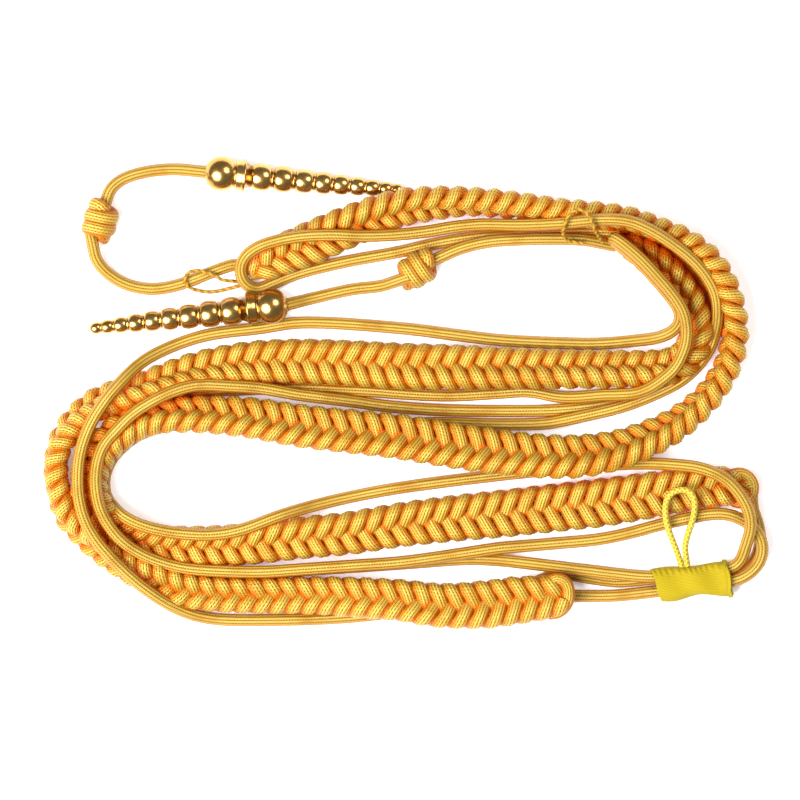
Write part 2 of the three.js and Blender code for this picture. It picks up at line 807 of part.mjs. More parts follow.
// The soft plaits give way where a cord or the other plait lies against them. A crumb that
// this cuts loose between two lobes is dropped.
function pressed(geometry, neighbours) {
  const soft = neighbours.reduce((left, other) => left.subtract(solid(other)), solid(geometry));
  const [largest] = soft.decompose().sort((a, b) => b.volume() - a.volume());
  const { vertProperties, triVerts } = largest.getMesh();
  const result = new THREE.BufferGeometry();
  result.setAttribute('position', new THREE.BufferAttribute(vertProperties, 3));
  result.setIndex(new THREE.BufferAttribute(triVerts, 1));
  return result;
}

function solid(geometry) {
  const bare = geometry.clone();
  bare.deleteAttribute('normal');
  bare.deleteAttribute('uv');
  const merged = mergeVertices(bare, 1e-4);
  const vertProperties = new Float32Array(merged.attributes.position.array);
  const triVerts = new Uint32Array(merged.index.array);
  return new wasm.Manifold(new wasm.Mesh({ numProp: 3, vertProperties, triVerts }));
}

const pressing = Object.values(plainCords).map(roomForCord);
const longPlait = pressed(plaitGeometry(LONG_BRAID, -1), pressing);
const shortPlait = pressed(plaitGeometry(SHORT_BRAID, 1),
  [...pressing, plaitGeometry(LONG_BRAID, -1, GAP)]);
add('long_braid', longPlait, goldCord);
add('short_braid', shortPlait, goldCord);

const longKnot = add('long_knot', knotGeometry(), goldCord);
aim(longKnot, new THREE.Vector3(-125.8, 60, 6.2), new THREE.Vector3(-120.6, 78, 6.2));
longKnot.scale.z = KNOT_HEIGHT_RATIO;
const shortKnot = add('short_knot', knotGeometry(), goldCord);
aim(shortKnot, new THREE.Vector3(-4.4, 44.8, 6.2), new THREE.Vector3(12, 54, 6.2));
shortKnot.scale.z = KNOT_HEIGHT_RATIO;

const longTip = add('long_tip', tipGeometry(), giltMetal);
aim(longTip, new THREE.Vector3(-81.2, 88.4, 7.6), new THREE.Vector3(-2, 81.2, 2.9));
const shortTip = add('short_tip', tipGeometry(), giltMetal);
aim(shortTip, new THREE.Vector3(-48.4, 35.6, 7.6), new THREE.Vector3(-128.4, 25.6, 2.9));

const tape = add('shoulder_tape', tapeGeometry(), lemonTape);
tape.position.set(113, -74.9, TAPE_HEIGHT / 2);
tape.rotation.z = THREE.MathUtils.degToRad(5.4);

add('button_loop', cordGeometry(BUTTON_LOOP, BUTTON_CORD_DIAMETER, BUTTON_CORD_DIAMETER), paleCord);
add('long_thread_loop', cordGeometry(LONG_THREAD_LOOP, THREAD_DIAMETER, THREAD_DIAMETER), goldCord);
add('short_thread_loop', cordGeometry(SHORT_THREAD_LOOP, THREAD_DIAMETER, THREAD_DIAMETER), goldCord);

export default aiguillette;
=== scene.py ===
import math

import bpy
from mathutils import Matrix, Vector


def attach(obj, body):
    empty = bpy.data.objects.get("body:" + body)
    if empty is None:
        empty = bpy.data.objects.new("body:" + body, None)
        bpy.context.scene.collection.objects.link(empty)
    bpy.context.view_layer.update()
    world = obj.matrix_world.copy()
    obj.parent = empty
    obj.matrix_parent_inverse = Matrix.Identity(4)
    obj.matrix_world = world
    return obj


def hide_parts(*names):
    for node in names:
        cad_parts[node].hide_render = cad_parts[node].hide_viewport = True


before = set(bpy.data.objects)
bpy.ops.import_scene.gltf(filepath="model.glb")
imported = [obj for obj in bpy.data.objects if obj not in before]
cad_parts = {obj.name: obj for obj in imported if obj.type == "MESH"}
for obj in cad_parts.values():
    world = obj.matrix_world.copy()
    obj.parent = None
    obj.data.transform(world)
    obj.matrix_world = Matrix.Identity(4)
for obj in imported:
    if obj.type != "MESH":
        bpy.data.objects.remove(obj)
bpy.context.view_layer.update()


# The view from straight above, on plain white paper that is lit a little from below. The main lamp
# stands to the left and a little towards the viewer, and a weaker one at the far right fills the
# shadows.
view_middle = Vector((-0.0015, -0.0025, 0))
view_width = 0.32
view_height = 0.01
eye_height = 4.0
paper_half = 1.5
plain_white = (1, 1, 1, 1)
room_light = 0.26


def put_in_scene(name, data):
    made = bpy.data.objects.new(name, data)
    bpy.context.scene.collection.objects.link(made)
    return made


camera = put_in_scene("camera", bpy.data.cameras.new("camera"))
camera.location = view_middle + Vector((0, 0, eye_height))
camera.data.sensor_width = 36
camera.data.lens = camera.data.sensor_width * (eye_height - view_height) / view_width
bpy.context.scene.camera = camera
bpy.context.scene.view_settings.view_transform = "Standard"


def lamp(name, place, size, power):
    """A round soft lamp that is aimed at the middle of the table."""
    light = bpy.data.lights.new(name, "AREA")
    light.shape = "DISK"
    light.size = size
    light.energy = power
    made = put_in_scene(name, light)
    made.location = place
    made.rotation_euler = (-Vector(place)).to_track_quat("-Z", "Y").to_euler()


lamp("window_lamp", (-1.05, -0.5, 1.55), 1.7, 112)
lamp("far_lamp", (1.2, 0.9, 1.8), 1.2, 32)


def feed(made, feeds):
    """Gives a node's inputs, by name or number, a value, an output or another node's first output."""
    for socket, value in feeds.items():
        if isinstance(value, bpy.types.Node):
            value = value.outputs[0]
        if isinstance(value, bpy.types.NodeSocket):
            made.id_data.links.new(value, made.inputs[socket])
        else:
            made.inputs[socket].default_value = value


def node(tree, kind, feeds=None, **settings):
    made = tree.nodes.new(kind)
    for name, value in settings.items():
        setattr(made, name, value)
    feed(made, feeds or {})
    return made


def new_material(name, **values):
    """A material, its tree and its shader, which keeps the values that are the same all over."""
    material = bpy.data.materials.new(name)
    material.use_nodes = True
    shader = material.node_tree.nodes["Principled BSDF"]
    feed(shader, {label.replace("_", " "): value for label, value in values.items()})
    return material, material.node_tree, shader


def new_mesh_piece(name, places, faces, material):
    mesh = bpy.data.meshes.new(name)
    mesh.from_pydata(places, [], faces)
    mesh.materials.append(material)
    return put_in_scene(name, mesh)


sky = bpy.data.worlds.new("room")
sky.use_nodes = True
feed(sky.node_tree.nodes["Background"], {"Color": plain_white, "Strength": room_light})
bpy.context.scene.world = sky

paper = new_material("white_paper", Base_Color=(0.93, 0.93, 0.93, 1), Roughness=0.8,
                     Emission_Color=plain_white, Emission_Strength=room_light)[0]
paper_corners = [(-paper_half, -paper_half, 0), (paper_half, -paper_half, 0),
                 (paper_half, paper_half, 0), (-paper_half, paper_half, 0)]
new_mesh_piece("table_top", paper_corners, [(0, 1, 2, 3)], paper)


# The gold cord that everything is made of: silky rayon knitted over a cotton core, a little
# flattened, with ten rows of fine stitches along it. A route gives x, y, for a plait its roll in
# degrees and its width, and last the height of the underside where it is off the table.
cord_width = 0.005
cord_thickness = 0.004
ridges = 10
stitch_pitch = 0.0011
route_step = 0.001
ease_thickness = 0.0005
on_table = 0.0003
to_middle = Vector((0.0017, 0.0003, 0))


def smooth_line(points):
    """Follows the points with a centripetal curve. Gives places, and how far along the list each is."""
    ends = [points[0] * 2 - points[1]] + list(points) + [points[-1] * 2 - points[-2]]
    places, rows = [], []
    for i in range(len(points) - 1):
        a, b, c, d = ends[i:i + 4]
        t1 = max((b - a).length, 1e-6) ** 0.5
        t2 = t1 + max((c - b).length, 1e-6) ** 0.5
        t3 = t2 + max((d - c).length, 1e-6) ** 0.5
        pieces = max(1, round((c - b).length / route_step))
        for j in range(pieces + (i + 2 == len(points))):
            t = t1 + (t2 - t1) * j / pieces
            ab = a * ((t1 - t) / t1) + b * (t / t1)
            bc = b * ((t2 - t) / (t2 - t1)) + c * ((t - t1) / (t2 - t1))
            cd = c * ((t3 - t) / (t3 - t2)) + d * ((t - t2) / (t3 - t2))
            abc = ab * ((t2 - t) / t2) + bc * (t / t2)
            bcd = bc * ((t3 - t) / (t3 - t1)) + cd * ((t - t1) / (t3 - t1))
            places.append(abc * ((t2 - t) / (t2 - t1)) + bcd * ((t - t1) / (t2 - t1)))
            rows.append(i + j / pieces)
    return places, rows


def cord_line(route, thickness=cord_thickness):
    """The middle line of a cord laid along a route. The thicker the cord, the rounder its bends."""
    raised = []
    for x, y, *under in route:
        height = (under[0] if under else on_table) + thickness / 2
        raised.append(Vector((x, y, height)) + to_middle)
    line = smooth_line(raised)[0]
    for _ in range(round(thickness / ease_thickness)):
        eased = [(a + b * 2 + c) / 4 for a, b, c in zip(line, line[1:], line[2:])]
        line = [line[0]] + eased + [line[-1]]
    return line


def longer(line, at_start, at_end):
    """The line drawn on in a straight line at its ends, to where the cord is hidden."""
    first = line[0] + (line[0] - line[2]).normalized() * at_start
    last = line[-1] + (line[-1] - line[-3]).normalized() * at_end
    return [first] * (at_start > 0) + line + [last] * (at_end > 0)


def new_tree(name, inputs):
    """A geometry tree with named inputs, given as (name, kind, value)."""
    tree = bpy.data.node_groups.new(name, "GeometryNodeTree")
    tree.interface.new_socket("Geometry", in_out="INPUT", socket_type="NodeSocketGeometry")
    tree.interface.new_socket("Geometry", in_out="OUTPUT", socket_type="NodeSocketGeometry")
    for label, kind, value in inputs:
        socket = tree.interface.new_socket(label, in_out="INPUT", socket_type="NodeSocket" + kind)
        if value is not None:
            socket.default_value = value
    return tree, node(tree, "NodeGroupInput").outputs, node(tree, "NodeGroupOutput")


def maths(tree, operation, a, b=0.0):
    return node(tree, "ShaderNodeMath", {0: a, 1: b}, operation=operation)


def times(tree, a, b):
    return maths(tree, "MULTIPLY", a, b)


def vectors(tree, operation, a, b=(0, 0, 0)):
    return node(tree, "ShaderNodeVectorMath", {0: a, 1: b}, operation=operation)


def scaled(tree, vector, share):
    return node(tree, "ShaderNodeVectorMath", {0: vector, "Scale": share}, operation="SCALE")


def length_along(tree):
    return node(tree, "GeometryNodeSplineParameter").outputs["Length"]


def keep_value(tree, shape, label, value, kind="FLOAT"):
    """Writes a value on each point of a shape, under a label."""
    return node(tree, "GeometryNodeStoreNamedAttribute",
                {"Geometry": shape, "Name": label, "Value": value}, data_type=kind, domain="POINT")


skin_inputs = [
    ("Width", "Float", cord_width),
    ("Thickness", "Float", cord_thickness),
    ("Ridges", "Int", ridges),
    ("Ridge Height", "Float", 0.06),
    ("Material", "Material", None),
]


def make_skin_tree():
    """Knits the ridged outside of a cord round each curve."""
    tree, given, result = new_tree("cord_skin", skin_inputs)
    count = times(tree, given["Ridges"], 2.0)
    circle = node(tree, "GeometryNodeCurvePrimitiveCircle", {"Resolution": count, "Radius": 1.0})
    place = node(tree, "GeometryNodeInputPosition")
    ring = keep_value(tree, circle, "ring", place, "FLOAT_VECTOR")
    alternate = maths(tree, "MODULO", node(tree, "GeometryNodeInputIndex"), 2.0)
    swell = maths(tree, "SUBTRACT", 1.0, times(tree, alternate, given["Ridge Height"]))
    half = node(tree, "ShaderNodeCombineXYZ",
                {0: times(tree, given["Width"], 0.5), 1: times(tree, given["Thickness"], 0.5)})
    shaped = scaled(tree, vectors(tree, "MULTIPLY", place, half), swell)
    section = node(tree, "GeometryNodeSetPosition", {"Geometry": ring, "Position": shaped})
    along = keep_value(tree, given["Geometry"], "along", length_along(tree))
    skin = node(tree, "GeometryNodeCurveToMesh",
                {"Curve": along, "Profile Curve": section, "Fill Caps": True})
    feed(result, {0: node(tree, "GeometryNodeSetShadeSmooth", {"Geometry": skin})})
    return tree


skin_tree = make_skin_tree()


def even_curve(tree, given):
    line = node(tree, "GeometryNodeMeshToCurve", {0: given["Geometry"]})
    return node(tree, "GeometryNodeResampleCurve", {"Curve": line, "Length": given["Step"]},
                mode="LENGTH")


def face_cord(tree, curve):
    """Turns a cord so that its flat side looks the way that its points say."""
    face = node(tree, "GeometryNodeInputNamedAttribute", {"Name": "face"}, data_type="FLOAT_VECTOR")
    heading = node(tree, "GeometryNodeInputTangent")
    flat = vectors(tree, "NORMALIZE", vectors(tree, "CROSS_PRODUCT", face, heading))
    return node(tree, "GeometryNodeSetCurveNormal", {"Curve": curve, "Normal": flat}, mode="FREE")


def add_skin(tree, curves, given, result):
    skin = node(tree, "GeometryNodeGroup", node_tree=skin_tree)
    feed(skin, {"Geometry": curves})
    feed(skin, {name: given[name] for name, kind, value in skin_inputs})
    whole = node(tree, "GeometryNodeRealizeInstances", {0: skin})
    feed(result, {0: node(tree, "GeometryNodeSetMaterial",
                          {"Geometry": whole, "Material": given["Material"]})})


def make_laid_tree():
    """Lays one cord along a line that carries the way its flat face looks."""
    tree, given, result = new_tree("laid_cord", [
        ("Step", "Float", 0.0014), ("Twist", "Float", 0.0)] + skin_inputs)
    level = face_cord(tree, even_curve(tree, given))
    tilt = times(tree, length_along(tree), given["Twist"])
    twisted = node(tree, "GeometryNodeSetCurveTilt", {"Curve": level, "Tilt": tilt})
    add_skin(tree, twisted, given, result)
    return tree


laid_tree = make_laid_tree()


def run_tree(name, source, tree, values):
    """Gives the source object's result as a plain mesh object, and removes the source."""
    modifier = source.modifiers.new("make", "NODES")
    modifier.node_group = tree
    sockets = {item.name: item.identifier for item in tree.interface.items_tree
               if item.in_out == "INPUT"}
    for label, value in values.items():
        modifier[sockets[label]] = value
    bpy.context.view_layer.update()
    graph = bpy.context.evaluated_depsgraph_get()
    mesh = bpy.data.meshes.new_from_object(source.evaluated_get(graph),
                                           preserve_all_data_layers=True, depsgraph=graph)
    bpy.data.objects.remove(source)
    mesh.name = name
    return put_in_scene(name, mesh)


def line_object(name, places):
    mesh = bpy.data.meshes.new(name + "_line")
    mesh.from_pydata(places, [(i, i + 1) for i in range(len(places) - 1)], [])
    return put_in_scene(name + "_line", mesh)


def write_values(piece, label, values, kind="FLOAT", field="value"):
    """Writes a list of values on a piece's points, under a label."""
    layer = piece.data.attributes.new(label, kind, "POINT")
    layer.data.foreach_set(field, values)


def level_faces(places):
    """The way a cord's flat face looks when its sides stay level, also where it folds back."""
    faces, side = [], Vector((0, 0, 0))
    for before, after in zip(places[:1] + places[:-1], places[1:] + places[-1:]):
        heading = (after - before).normalized()
        level = Vector((-heading.y, heading.x, 0))
        if level.length > 0.3:
            side = -level.normalized() if level.dot(side) < 0 else level.normalized()
        faces.append(heading.cross(side).normalized())
    return faces


def lay_cord(name, places, faces=None, **values):
    """One cord along the places, as a plain mesh. Its sides stay level unless faces say how it turns."""
    source = line_object(name, places)
    numbers = [number for face in faces or level_faces(places) for number in face]
    write_values(source, "face", numbers, "FLOAT_VECTOR", "vector")
    values = {label.replace("_", " "): value for label, value in values.items()}
    return run_tree(name, source, laid_tree, values)


def soft_step(tree, value, low, high):
    """0 below low and 1 above high, or the other way round, with a soft change between."""
    return node(tree, "ShaderNodeMapRange", {"Value": value, "From Min": low, "From Max": high},
                interpolation_type="SMOOTHSTEP")


def mixed(tree, share, a, b):
    return node(tree, "ShaderNodeMix", {0: share, 6: a, 7: b}, data_type="RGBA").outputs[2]


def cloudy(tree, scale, detail):
    """A cloudy pattern that stays in place on the piece."""
    place = node(tree, "ShaderNodeTexCoord").outputs["Object"]
    return node(tree, "ShaderNodeTexNoise", {"Scale": scale, "Detail": detail, "Vector": place})


def bumps(tree, strength, distance, height):
    return node(tree, "ShaderNodeBump",
                {"Strength": strength, "Distance": distance, "Height": height})


def round_and_along(tree):
    """How far up a point is on its cord's section, its angle round it, and how far along it is."""
    ring = node(tree, "ShaderNodeAttribute", attribute_name="ring").outputs["Vector"]
    across, up = node(tree, "ShaderNodeSeparateXYZ", {0: ring}).outputs[:2]
    along = node(tree, "ShaderNodeAttribute", attribute_name="along").outputs["Fac"]
    return up, maths(tree, "ARCTAN2", up, across), along


def knitted_silk(name, rows, crest_edge, cover_shade_start, ridge_colour, groove_shade_and_wear_colour, stitch_shade_colour,
                 side_shade_colour, cover_shade_colour, deep_shade_colour):
    """Rows of fine stitches along a cord, with painted shade: its grooves, stitch holes and sides are
    painted darker than its crest, and what other cords cover is painted deep orange.
    """
    material, tree, shader = new_material(
        name, Metallic=0.25, Roughness=0.36, Specular_IOR_Level=0.32)
    up, angle, along = round_and_along(tree)
    covered = node(tree, "ShaderNodeAttribute", attribute_name="covered").outputs["Fac"]
    rib = maths(tree, "COSINE", times(tree, angle, float(rows)))
    travel = times(tree, along, 2 * math.pi / stitch_pitch)
    lean = times(tree, angle, rows * 0.5)
    dash = maths(tree, "SINE", maths(tree, "ADD", travel, lean))
    groove = soft_step(tree, rib, -0.2, -0.9)
    hole = times(tree, groove, soft_step(tree, dash, 0.0, 0.85))
    worn = soft_step(tree, cloudy(tree, 90.0, 2.0), 0.45, 0.85)
    # Painted shade: the grooves between the ridges are painted darker, and the random worn patches take
    # the same colour.
    base = mixed(tree, soft_step(tree, rib, -0.9, 0.0), groove_shade_and_wear_colour, ridge_colour)
    base = mixed(tree, worn, base, groove_shade_and_wear_colour)
    # Painted shade: the sides of each cord, away from its crest, are painted darker orange.
    crest = maths(tree, "ABSOLUTE", up)
    base = mixed(tree, soft_step(tree, crest, 0.96, crest_edge), base, side_shade_colour)
    # Painted shade: where other cords cover the sky the colour is painted orange, and deep orange where
    # they cover most.
    base = mixed(tree, soft_step(tree, covered, cover_shade_start, cover_shade_start + 0.35), base, cover_shade_colour)
    base = mixed(tree, soft_step(tree, covered, cover_shade_start + 0.2, 0.95), base, deep_shade_colour)
    # Painted shade: the holes between the stitches are painted nearly black.
    base = mixed(tree, times(tree, hole, 0.8), base, stitch_shade_colour)
    thread = maths(tree, "SINE", maths(tree, "ADD", times(tree, travel, 2.0), lean))
    height = maths(tree, "ADD", times(tree, rib, 0.5),
                   maths(tree, "ADD", times(tree, thread, 0.3), times(tree, hole, -0.9)))
    feed(shader, {"Base Color": base, "Normal": bumps(tree, 0.8, 0.0002, height)})
    return material


# The ridge colour, then painted shade: grooves (also the worn patches), stitch holes, sides, covered and
# most covered places.
gold_silk = knitted_silk(
    "gold_silk", ridges, 0.25, 0.5,
    (0.43, 0.28, 0.04, 1), (0.32, 0.155, 0.007, 1), (0.05, 0.018, 0.001, 1),
    (0.42, 0.165, 0.005, 1), (0.52, 0.155, 0.002, 1), (0.7, 0.14, 0.001, 1))


def finish_piece(piece, slot, *solids):
    """Attaches a piece to the root body and hides the solids it stands for. The material's slot is not
    used.
    """
    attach(piece, "root")
    if solids:
        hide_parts(*solids)


def finish_cord(piece, places, slot, diameter, *solids):
    """Attaches a cord to the root body, hides the solids it stands for, and sums its length from end to
    end.
    """
    finish_piece(piece, slot, *solids)
    length = sum((b - a).length for a, b in zip(places, places[1:]))
    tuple(places[0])


long_loop_upper_route = (
    (-0.0602, 0.0414, 0.0007), (-0.0632, 0.0422, 0.0016), (-0.0662, 0.0452, 0.004),
    (-0.0672, 0.05, 0.0064), (-0.0652, 0.0546, 0.008), (-0.06, 0.0584, 0.0102),
    (-0.0528, 0.0608, 0.0112), (-0.0432, 0.0626, 0.0114), (-0.0312, 0.0632, 0.0112),
    (-0.017, 0.0628, 0.0096), (-0.0032, 0.0634, 0.0074), (0.0088, 0.0648, 0.0054),
    (0.018, 0.0664, 0.0047), (0.0288, 0.0674, 0.0054), (0.0448, 0.0672, 0.0096),
    (0.0608, 0.0678, 0.0136), (0.0768, 0.0692, 0.0166), (0.088, 0.0686, 0.0172),
    (0.0976, 0.0646, 0.0166), (0.1056, 0.0596, 0.015), (0.114, 0.053, 0.013), (0.12, 0.0458, 0.0114),
    (0.1232, 0.0392, 0.0096), (0.124, 0.0308, 0.0066), (0.123, 0.024, 0.0048), (0.1208, 0.018, 0.0047),
    (0.1164, 0.0114, 0.0047), (0.1092, 0.0048, 0.0047), (0.0968, -0.0014, 0.0047),
    (0.0848, -0.0058, 0.0047), (0.0712, -0.009, 0.0046), (0.062, -0.011, 0.0032),
    (0.0548, -0.0122, 0.0006), (0.0348, -0.0126), (0.0128, -0.012), (-0.0032, -0.0126),
    (-0.0232, -0.0124), (-0.0432, -0.0116), (-0.0632, -0.0114), (-0.0832, -0.0118), (-0.0972, -0.0134),
    (-0.107, -0.0164), (-0.1146, -0.0216), (-0.1198, -0.028), (-0.1218, -0.0348, 0.0005),
    (-0.1212, -0.0408, 0.0028), (-0.1178, -0.0456, 0.008), (-0.1136, -0.0494, 0.0126),
    (-0.1076, -0.0524, 0.014), (-0.0972, -0.0552, 0.0132), (-0.0792, -0.0566, 0.0118),
    (-0.0672, -0.0548, 0.0114), (-0.0512, -0.049, 0.0094), (-0.036, -0.0446, 0.004),
    (-0.02, -0.041, 0.0005), (-0.0032, -0.038), (0.0288, -0.0338), (0.0608, -0.0304),
    (0.08, -0.0288, 0.0006), (0.094, -0.0282, 0.0034), (0.105, -0.0286, 0.0076),
    (0.1168, -0.03, 0.0108), (0.126, -0.0338, 0.0116), (0.1324, -0.0402, 0.0118),
    (0.1362, -0.0474, 0.0116), (0.137, -0.054, 0.0106), (0.135, -0.0614, 0.0076),
    (0.1328, -0.0678, 0.0059), (0.1292, -0.0702, 0.0055), (0.1132, -0.0717, 0.0055),
)

long_loop_lower_route = (
    (-0.0586, 0.042, 0.0006), (-0.0548, 0.0436, 0.0004), (-0.0492, 0.046), (-0.0432, 0.0482),
    (-0.0312, 0.0512), (-0.022, 0.0532), (-0.0032, 0.0566), (0.0088, 0.0594), (0.0208, 0.0616),
    (0.0328, 0.063), (0.0448, 0.0638), (0.0608, 0.0644), (0.0768, 0.0644), (0.088, 0.0636),
    (0.0976, 0.0606), (0.1056, 0.0566), (0.113, 0.0504), (0.1186, 0.0428), (0.1214, 0.0344),
    (0.1216, 0.0256), (0.1192, 0.0172), (0.1144, 0.01), (0.106, 0.003), (0.0968, -0.0008),
    (0.0868, -0.003), (0.0768, -0.005), (0.0608, -0.0068), (0.0248, -0.0071), (0.0048, -0.0064),
    (-0.0112, -0.005), (-0.0192, -0.0038, 0.0014), (-0.0272, -0.0028, 0.0036),
    (-0.0352, -0.0018, 0.0047), (-0.0432, -0.0008, 0.0052), (-0.0592, 0.002, 0.008),
    (-0.0708, 0.0028, 0.0106), (-0.084, 0.0032, 0.0128), (-0.0924, 0.0012, 0.0146),
    (-0.1012, -0.0028, 0.016), (-0.11, -0.0084, 0.017), (-0.1164, -0.0148, 0.0172),
    (-0.122, -0.0216, 0.0168), (-0.1246, -0.0308, 0.0166), (-0.1246, -0.0388, 0.0164),
    (-0.1228, -0.0468, 0.016), (-0.1186, -0.0542, 0.015), (-0.1134, -0.06, 0.013),
    (-0.106, -0.0648, 0.0106), (-0.0992, -0.0676, 0.009), (-0.0912, -0.0698, 0.008),
    (-0.0832, -0.0708, 0.0076), (-0.0592, -0.0716, 0.0076), (-0.0432, -0.0706, 0.0074),
    (-0.02, -0.069, 0.006), (-0.0032, -0.0678, 0.0047), (0.024, -0.064, 0.0047),
    (0.036, -0.0622, 0.004), (0.048, -0.0612, 0.0016), (0.06, -0.0602, 0.0005),
    (0.0768, -0.0586, 0.0006), (0.09, -0.0558, 0.0026), (0.1008, -0.0528, 0.005),
    (0.112, -0.0502, 0.0064), (0.12, -0.0486, 0.0068), (0.128, -0.0486, 0.0066),
    (0.1352, -0.0516, 0.0064), (0.1404, -0.0566, 0.006), (0.142, -0.0624, 0.0057),
    (0.1404, -0.0684, 0.0055), (0.1354, -0.0732, 0.0055), (0.1286, -0.0756, 0.0055),
    (0.1137, -0.0769, 0.0055),
)

short_loop_upper_route = (
    (0.0814, 0.0626, 0.0086), (0.0826, 0.0622, 0.0102), (0.085, 0.0604, 0.0114),
    (0.0878, 0.0582, 0.0124), (0.0938, 0.0528, 0.0138), (0.1003, 0.0457, 0.0149),
    (0.1058, 0.0392, 0.0156), (0.1098, 0.0328, 0.016), (0.1112, 0.0272, 0.0162),
    (0.1112, 0.0212, 0.0158), (0.1096, 0.0156, 0.015), (0.1064, 0.0096, 0.0148),
    (0.1008, 0.0048, 0.0138), (0.0968, 0.002, 0.0118), (0.0908, -0.0002, 0.0096),
    (0.0848, -0.0006, 0.0082), (0.0768, -0.0008, 0.005), (0.0688, -0.0016, 0.0028),
    (0.0608, -0.0016, 0.0005), (0.0484, 0.0006), (0.0368, 0), (0.0168, -0.001), (-0.0008, -0.0003),
    (-0.012, 0.0006), (-0.0232, 0.0012), (-0.0432, 0.002), (-0.0632, 0.0016), (-0.0832, 0.0004),
    (-0.0952, -0.0014), (-0.104, -0.0044), (-0.1132, -0.0094), (-0.121, -0.0154), (-0.1274, -0.0224),
    (-0.131, -0.0294), (-0.1318, -0.037), (-0.13, -0.045), (-0.1256, -0.053), (-0.119, -0.06),
    (-0.1112, -0.065), (-0.1032, -0.0682), (-0.0952, -0.0702), (-0.0872, -0.0712), (-0.0592, -0.072),
    (-0.0432, -0.071), (-0.0032, -0.0684), (0.0244, -0.0666), (0.036, -0.067, 0.0008),
    (0.048, -0.0682, 0.0026), (0.06, -0.0696, 0.0046), (0.072, -0.071, 0.0048),
    (0.084, -0.0724, 0.0052), (0.0973, -0.0735, 0.0055), (0.1122, -0.0721, 0.0055),
)

short_loop_lower_route = (
    (0.0824, 0.061, 0.0052), (0.0868, 0.0574, 0.0077), (0.0928, 0.052, 0.0095),
    (0.0993, 0.0449, 0.0106), (0.1048, 0.0384, 0.0113), (0.1088, 0.032, 0.0116),
    (0.1078, 0.0266, 0.0098), (0.103, 0.0232, 0.0064), (0.098, 0.0218, 0.0026),
    (0.0928, 0.0212, 0.0006), (0.0768, 0.0198), (0.0608, 0.02), (0.0368, 0.0212), (0.0168, 0.0236),
    (-0.0032, 0.026), (-0.0432, 0.0282), (-0.0592, 0.026), (-0.0796, 0.0234, 0.0005),
    (-0.0924, 0.0196, 0.002), (-0.1056, 0.013, 0.0076), (-0.1144, 0.0048, 0.0146),
    (-0.1208, -0.0028, 0.017), (-0.127, -0.0128, 0.0172), (-0.1306, -0.0228, 0.0172),
    (-0.1318, -0.0318, 0.017), (-0.1314, -0.0418, 0.017), (-0.129, -0.0508, 0.0172),
    (-0.1246, -0.0588, 0.0172), (-0.119, -0.0654, 0.0168), (-0.1114, -0.073, 0.014),
    (-0.1034, -0.0796, 0.0104), (-0.095, -0.085, 0.0058), (-0.087, -0.0886, 0.0024),
    (-0.079, -0.0904, 0.0005), (-0.0712, -0.091), (-0.0432, -0.0908), (-0.0232, -0.0898),
    (-0.0032, -0.0876), (0.0168, -0.086), (0.0368, -0.083), (0.05, -0.0812), (0.06, -0.081),
    (0.072, -0.0814), (0.082, -0.0813, 0.0006), (0.09, -0.0806, 0.0016), (0.098, -0.0796, 0.0029),
    (0.1127, -0.0782, 0.003),
)

# Each tail starts inside its plait. The long one goes once round under the plait's end.
long_tail_route = (
    (0.1278, -0.0358, 0.0006), (0.1312, -0.034, 0.0004), (0.1348, -0.0342), (0.1372, -0.0366),
    (0.1378, -0.041), (0.138, -0.0462, 0.0004), (0.14, -0.0516, 0.0005), (0.1412, -0.059),
    (0.1396, -0.066, 0.0004), (0.1346, -0.0714, 0.0009), (0.1284, -0.073, 0.0012),
    (0.1134, -0.0744, 0.0012),
)

short_tail_route = (
    (0.05, -0.0764, 0.0004), (0.0554, -0.074, 0.0004), (0.06, -0.0728, 0.0004),
    (0.0648, -0.0728, 0.0004), (0.07, -0.0736, 0.0004), (0.076, -0.0746, 0.0005),
    (0.084, -0.0755, 0.0008), (0.0974, -0.0744, 0.0012), (0.1123, -0.073, 0.0012),
)

long_tip_cord_route = (
    (-0.0632, 0.0488, 0.0012), (-0.0684, 0.0516, 0.0006), (-0.0756, 0.0496), (-0.0836, 0.0464),
    (-0.094, 0.0428), (-0.1032, 0.0416), (-0.1132, 0.0436), (-0.1204, 0.048, 0.0008),
    (-0.1248, 0.0532, 0.0026), (-0.1261, 0.0587, 0.0041),
)

long_end_cord_route = (
    (-0.1209, 0.0768, 0.0042), (-0.1194, 0.0814, 0.0036), (-0.115, 0.0854, 0.002),
    (-0.106, 0.0884, 0.001), (-0.094, 0.0896, 0.002), (-0.082, 0.0885, 0.0054),
)

short_tip_cord_route = (
    (0.0796, 0.0596, 0.002), (0.0708, 0.0612, 0.0047), (0.0608, 0.0616, 0.0049),
    (0.0448, 0.0614, 0.0049), (0.0316, 0.0604, 0.0048), (0.0208, 0.0578, 0.004),
    (0.0109, 0.0535, 0.0042),
)

short_end_cord_route = (
    (-0.0055, 0.0445, 0.0042), (-0.011, 0.0428, 0.001), (-0.022, 0.0416), (-0.0372, 0.0382, 0.001),
    (-0.0472, 0.0357, 0.0052),
)

